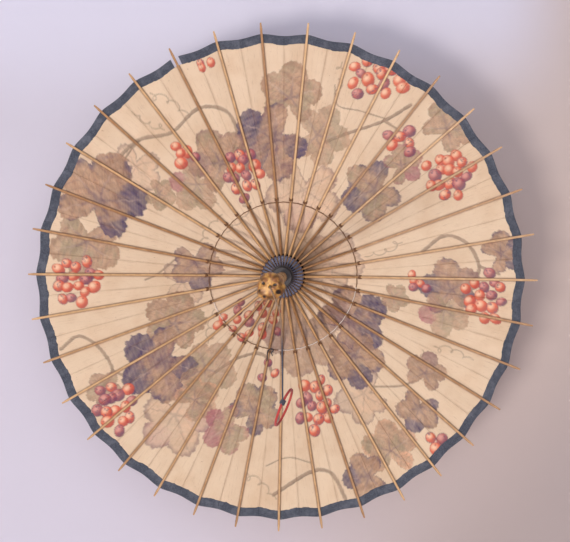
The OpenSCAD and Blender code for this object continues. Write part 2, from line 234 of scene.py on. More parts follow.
def tube_faces(rows: int, cols: int, close_ends: bool = False) -> Array:
    """Faces of a tube of points: rings of cols points, joined row to row and closed round.

    Args:
        rows: number of rings.
        cols: number of points in a ring.
        close_ends: also fills both ends with quads across the ring, which then has an even count.

    Returns:
        One row of four point numbers per face.
    """
    row, col = np.meshgrid(np.arange(rows - 1), np.arange(cols), indexing="ij")
    here, ahead, turn = row * cols, (row + 1) * cols, (col + 1) % cols
    faces = [np.stack([here + col, here + turn, ahead + turn, ahead + col], -1).reshape(-1, 4)]
    if close_ends:
        half = np.arange(cols // 2 - 1)
        cap = np.stack([half, cols - 1 - half, cols - 2 - half, half + 1], -1)
        faces += [cap, cap[:, ::-1] + (rows - 1) * cols]
    return np.concatenate(faces)


def outward_faces(points: Array, faces: Array) -> Array:
    """Turns all faces of a closed surface round if its signed volume is negative.

    Args:
        points: one row of x, y, z per point.
        faces: one row of four point numbers per face.

    Returns:
        The faces, facing outwards.
    """
    a, b, c, d = (points[faces[:, k]] for k in range(4))
    volume = np.einsum("ij,ij->", a, np.cross(b, c)) + np.einsum("ij,ij->", a, np.cross(c, d))
    return faces if volume > 0 else faces[:, ::-1]


def make_piece(name: str, points: Array, faces: Array, uv: Array | None = None, soft: bool = True) -> Piece:
    """Makes a mesh object at the origin from whole arrays.

    Args:
        name: the piece's name.
        points: one row of x, y, z per point.
        faces: one row of four point numbers per face.
        uv: one row of u, v per point.
        soft: shade it smooth.

    Returns:
        The object, linked to the scene.
    """
    faces = outward_faces(points, faces)
    mesh = bpy.data.meshes.new(name)
    mesh.vertices.add(len(points))
    mesh.vertices.foreach_set("co", points.astype(np.float32).ravel())
    mesh.loops.add(faces.size)
    mesh.loops.foreach_set("vertex_index", faces.astype(np.int32).ravel())
    mesh.polygons.add(len(faces))
    mesh.polygons.foreach_set("loop_start", np.arange(0, faces.size, 4, dtype=np.int32))
    mesh.update(calc_edges=True)
    mesh.polygons.foreach_set("use_smooth", np.full(len(faces), soft))
    if uv is not None:
        layer = mesh.uv_layers.new(name="UVMap")
        layer.data.foreach_set("uv", uv[faces.ravel()].astype(np.float32).ravel())
    piece = bpy.data.objects.new(name, mesh)
    bpy.context.scene.collection.objects.link(piece)
    return piece


def paint(piece: Piece, name: str, colours: Array) -> None:
    """Gives a piece a colour per point, as a named attribute."""
    layer = piece.data.color_attributes.new(name, "FLOAT_COLOR", "POINT")
    layer.data.foreach_set("color", colours.astype(np.float32).ravel())


def dress(piece: Piece, material: Material) -> None:
    """Sets a piece's only material."""
    piece.data.materials.clear()
    piece.data.materials.append(material)


def hand_over(piece: Piece, material: Material, body: str, node: str) -> None:
    """Dresses a piece, puts it on the body that it rides on, and hides the node that it stands for.

    Args:
        piece: the piece.
        material: its finish.
        body: the body that it rides on.
        node: the node that it stands for.
    """
    dress(piece, material)
    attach(piece, body)
    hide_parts(node)


def run_length(path: Array) -> Array:
    """Distance along a path to each of its points."""
    return np.concatenate([[0], np.cumsum(np.linalg.norm(np.diff(path, axis=0), axis=1))])


def spline(points: Array, step: float) -> Array:
    """A smooth line through points (Catmull and Rom's cubic), resampled at an even step.

    Args:
        points: the points that it passes through.
        step: distance between the new points.

    Returns:
        The new points.
    """
    samples = 40
    padded = np.vstack([2 * points[0] - points[1], points, 2 * points[-1] - points[-2]])
    share = np.linspace(0, 1, samples, endpoint=False)[None, :, None]
    a, b, c, d = (padded[k : len(padded) - 3 + k][:, None, :] for k in range(4))
    square, cube = 2 * a - 5 * b + 4 * c - d, 3 * b - a - 3 * c + d
    dense = 0.5 * (2 * b + (c - a) * share + square * share**2 + cube * share**3)
    dense = np.vstack([dense.reshape(-1, points.shape[1]), points[-1:]])
    reach = run_length(dense)
    even = np.linspace(0, reach[-1], max(2, round(reach[-1] / step) + 1))
    return np.stack([np.interp(even, reach, dense[:, k]) for k in range(points.shape[1])], -1)


def carried_tube(path: Array, radius: Array, sides: int, up: Sequence[float], closed: bool = False) -> Array:
    """Rings of points round a path.

    Each ring is the circle of its radius in the plane across the path, starting at the given side.

    Args:
        path: the middle line.
        radius: one value, or one per ring and side.
        sides: points in a ring.
        up: a direction that the path never follows.
        closed: the path ends where it starts.

    Returns:
        Points, ring by ring.
    """
    ahead = np.roll(path, -1, 0) - np.roll(path, 1, 0) if closed else np.gradient(path, axis=0)
    ahead /= np.linalg.norm(ahead, axis=1)[:, None]
    side = np.cross(ahead, np.array(up, float))
    side /= np.linalg.norm(side, axis=1)[:, None]
    over = np.cross(ahead, side)
    turn = np.linspace(0, TURN, sides, endpoint=False)
    ring = side[:, None, :] * np.cos(turn)[None, :, None] + over[:, None, :] * np.sin(turn)[None, :, None]
    return (path[:, None, :] + ring * np.broadcast_to(radius, (len(path), sides))[:, :, None]).reshape(-1, 3)


def plied(path: Array, radius: float, sides: int, lay: float) -> Array:
    """Radius of a twisted cord: round strands that turn once in each lay length.

    Args:
        path: its middle line.
        radius: its outer radius.
        sides: points in a ring.
        lay: length of one turn.

    Returns:
        One radius per ring and side.
    """
    hollow = 0.22
    turn = np.linspace(0, TURN, sides, endpoint=False)
    wave = np.abs(np.cos(PLIES / 2 * (turn[None, :] - TURN * run_length(path)[:, None] / lay)))
    return radius * (1 - hollow + hollow * wave)


def yarn(path: Array, radius: float, sides: int, lay: float, up: Sequence[float]) -> tuple[Array, Array]:
    """Points and faces of a twisted cord with closed ends.

    Args:
        path: its middle line.
        radius: its outer radius.
        sides: points in a ring.
        lay: length of one turn of its strands.
        up: a direction that the path never follows.

    Returns:
        Points and faces.
    """
    tube = carried_tube(path, plied(path, radius, sides, lay), sides, up)
    return tube, tube_faces(len(path), sides, True)


# Shaders


class Group(Enum):
    """The effects that several finishes share."""

    RIB_SPACE = "rib_space"
    FIBRE = "fibre"
    GRIME = "grime"


class Weave:
    """Builds the node tree of one material or group."""

    def __init__(self, tree: bpy.types.NodeTree) -> None:
        """Keeps the tree."""
        self.tree = tree

    def node(self, kind: str, values: dict | None = None, **settings: object) -> bpy.types.Node:
        """Adds a node.

        Args:
            kind: Blender's node type.
            values: input name or number to a value, or to the output that feeds it.
            settings: the node's own properties.

        Returns:
            The node.
        """
        made = self.tree.nodes.new(kind)
        for name, value in settings.items():
            setattr(made, name, value)
        for name, value in (values or {}).items():
            self.feed(made.inputs[name], value)
        return made

    def feed(self, entry: Socket, value: object) -> None:
        """Links an output to an input, or sets the input's own value.

        Args:
            entry: the input.
            value: an output, or a plain value.
        """
        if isinstance(value, bpy.types.NodeSocket):
            self.tree.links.new(value, entry)
        elif isinstance(value, tuple) and len(value) == 3 and len(entry.default_value) == 4:
            entry.default_value = (*value, 1)
        else:
            entry.default_value = value

    def math(self, task: str, first: object, second: object = 0.0) -> Socket:
        """A Math node's result."""
        return self.node("ShaderNodeMath", {0: first, 1: second}, operation=task).outputs[0]

    def times(self, first: object, second: object) -> Socket:
        """The product of two values."""
        return self.math("MULTIPLY", first, second)

    def size(self, value: object) -> Socket:
        """A value without its sign."""
        return self.math("ABSOLUTE", value)

    def noise(self, vector: Socket, scale: float, detail: float = 3, rough: float = 0.5) -> Socket:
        """Cloud noise from 0 to 1."""
        values = {"Vector": vector, "Scale": scale, "Detail": detail, "Roughness": rough}
        return self.node("ShaderNodeTexNoise", values).outputs["Fac"]

    def ramp(self, value: Socket, low: float, high: float) -> Socket:
        """0 below the low value, 1 above the high one, smooth between."""
        values = {"Value": value, "From Min": low, "From Max": high}
        return self.node("ShaderNodeMapRange", values, interpolation_type="SMOOTHSTEP").outputs[0]

    def fall(self, value: Socket, low: float, high: float) -> Socket:
        """1 below the low value, 0 above the high one, smooth between."""
        return self.math("SUBTRACT", 1.0, self.ramp(value, low, high))

    def mix(self, share: object, first: object, second: object) -> Socket:
        """A mix of two colours.

        Args:
            share: share of the second colour.
            first, second: the colours.

        Returns:
            The mixed colour.
        """
        made = self.node("ShaderNodeMix", data_type="RGBA")
        for entry, value in ((0, share), (6, first), (7, second)):
            self.feed(made.inputs[entry], value)
        return made.outputs[2]

    def cover(self, colour: object, mask: Socket, share: float, over: object) -> Socket:
        """A colour with a share of another laid over it where the mask says."""
        return self.mix(self.times(mask, share), colour, over)

    def stretch(self, vector: Socket, scale: Colour) -> Socket:
        """A vector with each part scaled."""
        return self.node("ShaderNodeMapping", {"Vector": vector, "Scale": scale}).outputs[0]

    def split(self, vector: Socket) -> bpy.types.NodeOutputs:
        """The three parts of a vector."""
        return self.node("ShaderNodeSeparateXYZ", {0: vector}).outputs

    def bump(self, height: Socket, strength: float, distance: float) -> Socket:
        """A normal from a height."""
        values = {"Height": height, "Strength": strength, "Distance": distance}
        return self.node("ShaderNodeBump", values).outputs[0]

    def place(self, group: Group, vector: Socket) -> dict[str, Socket]:
        """Puts in a group and returns its outputs by name.

        Args:
            group: which effect.
            vector: the place that it works from.

        Returns:
            Its outputs by name.
        """
        made = self.node("ShaderNodeGroup", node_tree=bpy.data.node_groups[group.value])
        self.feed(made.inputs["Vector"], vector)
        return {out.name: out for out in made.outputs}

    def attribute(self, name: str) -> bpy.types.NodeOutputs:
        """A piece's own painted values."""
        return self.node("ShaderNodeAttribute", attribute_name=name).outputs

    def show(self, shader: bpy.types.Node, colour: Socket, normal: Socket) -> None:
        """Feeds a shader's colour and normal."""
        self.feed(shader.inputs["Base Color"], colour)
        self.feed(shader.inputs["Normal"], normal)

    @property
    def where(self) -> Socket:
        """A point's place on its piece."""
        return self.node("ShaderNodeTexCoord").outputs["Object"]


def new_material(name: str, **values: object) -> tuple[Material, Weave, bpy.types.Node]:
    """An empty material with a Principled shader.

    Args:
        name: the finish's name.
        values: plain values of the shader's inputs, with _ for each space.

    Returns:
        The material, its tree builder and the shader node.
    """
    material = bpy.data.materials.new(name)
    material.use_nodes = True
    weave = Weave(material.node_tree)
    shader = material.node_tree.nodes["Principled BSDF"]
    for key, value in values.items():
        weave.feed(shader.inputs[key.replace("_", " ")], value)
    return material, weave, shader


def make_group(group: Group, outputs: dict[str, str]) -> tuple[Weave, Socket, bpy.types.Node]:
    """An empty group with a vector input.

    Args:
        group: which effect.
        outputs: each output's name and socket type.

    Returns:
        Its tree builder, the vector and the output node.
    """
    tree = bpy.data.node_groups.new(group.value, "ShaderNodeTree")
    tree.interface.new_socket("Vector", in_out="INPUT", socket_type="NodeSocketVector")
    for name, kind in outputs.items():
        tree.interface.new_socket(name, in_out="OUTPUT", socket_type=kind)
    weave = Weave(tree)
    vector = weave.node("NodeGroupInput").outputs["Vector"]
    return weave, vector, weave.node("NodeGroupOutput")


def make_groups() -> None:
    """Builds the shared effects.

    Rib space turns a place into distance from the pole, distance across the nearest rib and a
    number of its own for each rib. Fibre is fine lines along the first axis. Grime is broad stains.
    """
    number = "NodeSocketFloat"
    own_seed, own_shift = 0.37, 7.0
    outputs = {"Along": number, "Across": number, "Rib": number, "Vector": "NodeSocketVector"}
    weave, vector, out = make_group(Group.RIB_SPACE, outputs)
    x, y, z = weave.split(vector)
    radius = weave.math("SQRT", weave.math("ADD", weave.times(x, x), weave.times(z, z)))
    back = weave.math("ARCTAN2", weave.times(x, -1.0), weave.times(z, -1.0))
    turn = weave.math("ADD", back, math.pi)
    first = weave.times(weave.math("SINE", turn), PLAN.crowd)
    crowd = weave.times(weave.math("SINE", weave.math("SUBTRACT", turn, first)), PLAN.crowd)
    even = weave.math("SUBTRACT", weave.math("SUBTRACT", turn, crowd), PLAN.phase)
    count = weave.math("DIVIDE", even, PLAN.pitch)
    nearest = weave.math("ROUND", count)
    across = weave.times(weave.times(weave.math("SUBTRACT", count, nearest), PLAN.pitch), radius)
    seed = weave.math("ADD", nearest, own_seed)
    own = weave.node("ShaderNodeTexWhiteNoise", {"W": seed}, noise_dimensions="1D").outputs["Value"]
    shifted = weave.math("ADD", radius, weave.times(own, own_shift))
    fibres = weave.node("ShaderNodeCombineXYZ", {0: shifted, 1: across, 2: y}).outputs[0]
    for name, value in (("Along", radius), ("Across", across), ("Rib", own), ("Vector", fibres)):
        weave.feed(out.inputs[name], value)

    weave, vector, out = make_group(Group.FIBRE, {"Lines": number, "Streaks": number})
    weave.feed(out.inputs["Lines"], weave.noise(weave.stretch(vector, (12, 2600, 2600)), 1.0, 2, 0.6))
    weave.feed(out.inputs["Streaks"], weave.noise(weave.stretch(vector, (9, 420, 420)), 1.0, 3, 0.55))

    weave, vector, out = make_group(Group.GRIME, {"Stain": number, "Specks": number})
    weave.feed(out.inputs["Stain"], weave.ramp(weave.noise(vector, 14, 5, 0.6), 0.42, 0.75))
    weave.feed(out.inputs["Specks"], weave.ramp(weave.noise(vector, 420, 2, 0.5), 0.7, 0.78))


class Grain(Enum):
    """Which way a bamboo piece's fibres run."""

    RIBS = "out along each rib"
    POLE = "along the pole"


@dataclass(frozen=True)
class Bamboo:
    """Split or round bamboo: fibre lines, streaks, a tone of its own for each stick and dark edges, which are
    cut edges and painted shade along the sticks' sides.

    On the pole the dark edges are the two bamboo nodes.
    """

    name: str
    pale: Colour
    deep: Colour
    grain: Grain
    half_width: float = 0.0016
    roughness: float = 0.42
    node_y: float = 0.0825
    node_reach: tuple[float, float] = (0.0006, 0.0030)

    def make(self) -> Material:
        """Builds the material.

        Returns:
            The material.
        """
        material, weave, shader = new_material(self.name, Roughness=self.roughness, IOR=1.5)
        where = weave.where
        if self.grain is Grain.RIBS:
            space = weave.place(Group.RIB_SPACE, where)
            vector, tone = space["Vector"], space["Rib"]
            # dark edges of a rib or stretcher: cut edges and painted shade along its sides
            edge = weave.ramp(weave.size(space["Across"]), self.half_width * 0.55, self.half_width * 1.05)
        else:
            values = {"Vector": where, "Rotation": (0, 0, math.pi / 2)}
            vector = weave.node("ShaderNodeMapping", values).outputs[0]
            tone = weave.noise(where, 11, 2)
            along = weave.size(weave.split(where)[1])
            edge = weave.fall(weave.size(weave.math("SUBTRACT", along, self.node_y)), *self.node_reach)
        fibre = weave.place(Group.FIBRE, vector)
        stain = weave.place(Group.GRIME, vector)["Stain"]
        share = weave.math("ADD", weave.times(fibre["Streaks"], 0.75), weave.times(tone, 0.45))
        colour = weave.mix(weave.ramp(share, 0.3, 0.95), self.deep, self.pale)
        lines = weave.ramp(fibre["Lines"], 0.55, 0.75)
        # fibre lines, dark edges (with painted shade on ribs and stretchers) and grime
        for mask, amount in ((lines, 0.3), (edge, 0.7), (stain, 0.28)):
            colour = weave.cover(colour, mask, amount, darker(self.deep, 0.42))
        weave.show(shader, colour, weave.bump(fibre["Lines"], 0.35, 0.00012))
        return material


@dataclass(frozen=True)
class Stained:
    """Stained or lacquered turned wood: turning lines, worn patches, and painted shade, dark brown, near the
    pole.
    """

    name: str
    body: Colour
    worn: Colour
    roughness: float = 0.6
    coat: float = 0.0
    painted_shade_r: float = 0.001
    # painted shade: near-black brown round the pole, where the pole and knob shade the runner
    heart: Colour = tint(36, 28, 26)

    def make(self) -> Material:
        """Builds the material.

        Returns:
            The material.
        """
        material, weave, shader = new_material(
            self.name, Roughness=self.roughness, Coat_Weight=self.coat, Coat_Roughness=0.2
        )
        where = weave.where
        radius = weave.place(Group.RIB_SPACE, where)["Along"]
        # painted shade within a radius of the pole
        inner = weave.fall(radius, self.painted_shade_r * 0.92, self.painted_shade_r * 1.1)
        stain = weave.place(Group.GRIME, where)["Stain"]
        rub = weave.ramp(weave.noise(where, 160, 4, 0.65), 0.45, 0.7)
        lines = weave.noise(weave.stretch(where, (300, 2500, 300)), 1.0, 2)
        colour = weave.cover(self.body, rub, 0.6, self.worn)
        colour = weave.cover(colour, stain, 0.4, darker(self.body, 0.4))
        colour = weave.cover(colour, inner, 0.9, self.heart)
        weave.show(shader, colour, weave.bump(lines, 0.25, 0.00015))
        return material


@dataclass(frozen=True)
class OiledPaper:
    """Printed oiled paper: painted light near the hub, an oil stain with painted shadow at the hub's upper
    right, folded in mid gore, and paste-brown with painted shade beside the ribs.
    """

    name: str = "oiled_paper_sheet"
    sheet: Colour = tint(230, 204, 174)
    tan: Colour = tint(204, 164, 124)
    fold: Colour = tint(150, 104, 72)
    # brown of an oil stain and painted shadow of the knob, pole and hub, at the hub's upper right
    stain: Colour = tint(140, 92, 50)
    stain_and_shadow_at: Point = (0.030, 0.288, 0.030)
    stain_and_shadow_reach: tuple[float, float] = (0.012, 0.046)
    # painted light: paler paper near the hub, making up for the shade of the stretchers
    painted_light: Colour = tint(252, 224, 194)
    painted_light_reach: tuple[float, float] = (0.05, 0.125)
    # paste-brown and painted shade on the paper beside each rib
    glue_and_shade_reach: tuple[float, float] = (0.0016, 0.0034)

    def make(self) -> Material:
        """Builds the material.

        Returns:
            The material.
        """
        material, weave, shader = new_material(self.name, Roughness=0.62, Sheen_Weight=0.05)
        where = weave.where
        space = weave.place(Group.RIB_SPACE, where)
        specks = weave.place(Group.GRIME, where)["Specks"]
        printed = weave.attribute("print")
        gore = weave.split(weave.node("ShaderNodeUVMap", uv_map="UVMap").outputs[0])[0]
        clouds = weave.ramp(weave.noise(where, 26, 5, 0.62), 0.35, 0.8)
        colour = weave.cover(self.sheet, clouds, 0.42, self.tan)
        # painted light near the hub
        colour = weave.cover(colour, weave.fall(space["Along"], *self.painted_light_reach), 0.9, self.painted_light)
        colour = weave.mix(printed["Alpha"], colour, printed["Color"])
        strand = weave.noise(weave.stretch(space["Vector"], (60, 900, 60)), 1.0, 4, 0.7)
        colour = weave.cover(colour, weave.ramp(strand, 0.55, 0.72), 0.3, self.fold)
        pulp = weave.noise(where, 900, 3, 0.7)
        colour = weave.cover(colour, weave.ramp(pulp, 0.56, 0.75), 0.34, self.tan)
        # an oil stain and painted shadow at the hub's upper right
        values = {0: where, 1: self.stain_and_shadow_at}
        apart = weave.node("ShaderNodeVectorMath", values, operation="DISTANCE").outputs["Value"]
        colour = weave.cover(colour, weave.fall(apart, *self.stain_and_shadow_reach), 0.5, self.stain)
        middle = weave.ramp(weave.size(weave.math("SUBTRACT", gore, 0.5)), 0.43, 0.5)
        broken = weave.ramp(weave.noise(where, 34, 3), 0.36, 0.62)
        colour = weave.mix(weave.times(middle, weave.times(broken, 0.18)), colour, self.fold)
        # paste-brown and painted shade beside each rib
        glue_and_shade = weave.fall(weave.size(space["Across"]), *self.glue_and_shade_reach)
        for mask, amount in ((glue_and_shade, 0.5), (specks, 0.45)):
            colour = weave.cover(colour, mask, amount, self.fold)
        height = weave.math("ADD", weave.times(pulp, 0.6), strand)
        weave.show(shader, colour, weave.bump(height, 0.4, 0.0003))
        return material


@dataclass(frozen=True)
class Cloth:
    """Woven cloth or twisted yarn: crossed threads, a rubbed tone and, if set, a paler upper part."""

    name: str
    body: Colour
    pale: Colour
    threads: float = 2600
    rub: float = 0.5
    upper_tone: Colour | None = None
    upper_z: tuple[float, float] = (-0.056, -0.036)

    def make(self) -> Material:
        """Builds the material.

        Returns:
            The material.
        """
        material, weave, shader = new_material(self.name, Roughness=0.85, Sheen_Weight=0.2)
        where = weave.where
        vector = weave.place(Group.RIB_SPACE, where)["Vector"]
        fine, long = self.threads, self.threads * 0.1
        warp, weft = (weave.noise(weave.stretch(vector, scale), 1.0, 2)
                      for scale in ((long, fine, fine), (fine, long, fine)))
        thread = weave.times(weave.math("ADD", warp, weft), 0.5)
        worn = weave.ramp(weave.noise(where, 90, 5, 0.65), 0.42, 0.72)
        share = weave.times(weave.math("ADD", weave.ramp(thread, 0.4, 0.62), worn), self.rub)
        colour = weave.mix(share, self.body, self.pale)
        # paler in its upper part, by height
        if self.upper_tone:
            upper_colour = weave.mix(share, darker(self.upper_tone, 0.6), self.upper_tone)
            colour = weave.mix(weave.ramp(weave.split(where)[2], *self.upper_z), colour, upper_colour)
        weave.show(shader, colour, weave.bump(thread, 0.5, 0.0002))
        return material


@dataclass(frozen=True)
class PivotThread:
    """Cotton thread: brown but for two stretches of new white thread, and slate where it is tied on."""

    name: str = "pivot_thread"
    slate: Colour = tint(50, 54, 66)
    old: Colour = tint(128, 88, 58)
    new: Colour = tint(236, 222, 210)
    new_turns: tuple[tuple[float, float], ...] = ((98, 184), (234, 250))

    def make(self) -> Material:
        """Builds the material.

        Returns:
            The material.
        """
        material, weave, shader = new_material(self.name, Roughness=0.8)
        where = weave.where
        x, _, z = weave.split(where)
        turn = weave.math("MODULO", weave.math("ADD", weave.math("ARCTAN2", x, z), TURN), TURN)
        inside: object = 0.0
        for start, end in self.new_turns:
            begun = weave.ramp(turn, math.radians(start), math.radians(start + 1))
            left = weave.ramp(turn, math.radians(end), math.radians(end - 1))
            inside = weave.math("ADD", weave.times(begun, left), inside)
        dirt = weave.ramp(weave.noise(where, 120, 4, 0.6), 0.45, 0.68)
        colour = weave.cover(weave.mix(inside, self.old, self.new), dirt, 0.2, self.old)
        tone = weave.attribute("tone")["Fac"]
        colour = weave.mix(weave.ramp(tone, 0.2, 0.4), colour, self.old)
        colour = weave.mix(weave.ramp(tone, 0.7, 0.9), colour, self.slate)
        weave.show(shader, colour, weave.bump(weave.noise(where, 2600, 2), 0.4, 0.0002))
        return material


@dataclass(frozen=True)
class RootSkin:
    """Polished bamboo root: ochre with brown rings and ridge lines, painted shade in the crevices and inside
    the cord's hole, dark scars and reddish streaks.
    """

    name: str = "polished_root"
    pale: Colour = tint(208, 158, 76)
    deep: Colour = tint(138, 86, 38)
    flush: Colour = tint(196, 134, 92)
    scar: Colour = tint(38, 24, 18)

    def make(self) -> Material:
        """Builds the material.

        Returns:
            The material.
        """
        material, weave, shader = new_material(
            self.name, Roughness=0.48, Coat_Weight=0.12, Coat_Roughness=0.3
        )
        where = weave.where
        marks_and_shade = weave.attribute("marks_and_shade")["Color"]
        scars, rings, _ = weave.node("ShaderNodeSeparateColor", {0: marks_and_shade}).outputs
        streak = weave.noise(weave.stretch(where, (260, 40, 260)), 1.0, 4, 0.6)
        colour = weave.mix(weave.ramp(streak, 0.36, 0.66), self.deep, self.pale)
        colour = weave.cover(colour, weave.noise(where, 190, 4), 0.35, self.flush)
        # brown rings and ridge lines, and painted shade in the crevices
        colour = weave.cover(colour, rings, 0.85, darker(self.deep, 0.35))
        # dark scars, and painted shade inside the cord's hole
        colour = weave.mix(scars, colour, self.scar)
        weave.show(shader, colour, weave.bump(streak, 0.3, 0.0003))
        return material


@dataclass(frozen=True)
class Brass:
    """Dull rolled brass."""

    name: str = "dull_brass"
    bright: Colour = tint(190, 150, 84)
    dull: Colour = tint(112, 82, 48)
    roughness: tuple[float, float] = (0.25, 0.55)

    def make(self) -> Material:
        """Builds the material.

        Returns:
            The material.
        """
        material, weave, shader = new_material(self.name, Metallic=1.0)
        stain = weave.noise(weave.where, 300, 4, 0.6)
        weave.feed(shader.inputs["Base Color"], weave.mix(stain, self.bright, self.dull))
        values = {0: stain, 3: self.roughness[0], 4: self.roughness[1]}
        weave.feed(shader.inputs["Roughness"], weave.node("ShaderNodeMapRange", values).outputs[0])
        return material


# The print


@dataclass(frozen=True)
class Leaf:
    """A vine leaf: place and size in millimetres from the pole, turn in degrees, and its tones."""

    x: float
    z: float
    size: float
    turn: float
    tone: Colour
    accent: Colour
    lobes: tuple[int, ...]
    strength: float

    @property
    def drawn(self) -> bool:
        """A faint leaf is drawn in lines rather than painted."""
        return self.strength < 0.7


@dataclass(frozen=True)
class Bunch:
    """Grapes scattered in an ellipse, in millimetres from the pole, some of them plum-coloured."""

    x: float
    z: float
    wide: float
    high: float
    count: int
    seed: int
    grape: float = 7.8


@dataclass(frozen=True)
class Stem:
    """A vine stem or tendril along points in millimetres from the pole."""

    points: tuple[tuple[float, float], ...]
    width: float


OLIVE, TAUPE, DUSK = tint(152, 132, 102), tint(156, 116, 90), tint(136, 98, 94)
PEACH, PLUM, ROSE = tint(214, 160, 126), tint(62, 48, 88), tint(160, 78, 96)
BLOOM, CLAY, VEIN, LIT = tint(88, 46, 90), tint(176, 136, 108), tint(98, 66, 84), tint(214, 184, 168)
BARK, TENDRIL = tint(158, 132, 110), tint(168, 142, 118)
GRAPES = (
    (tint(230, 90, 50), tint(178, 50, 44), tint(250, 214, 178)),
    (tint(178, 68, 74), tint(96, 44, 82), tint(226, 160, 150)),
)
LOBE_WAYS = np.radians([0, 64, -64, 128, -128])
LOBE_LENGTHS = np.array([1.0, 0.94, 0.94, 0.8, 0.8])
GOLDEN_TURN = 2.39996


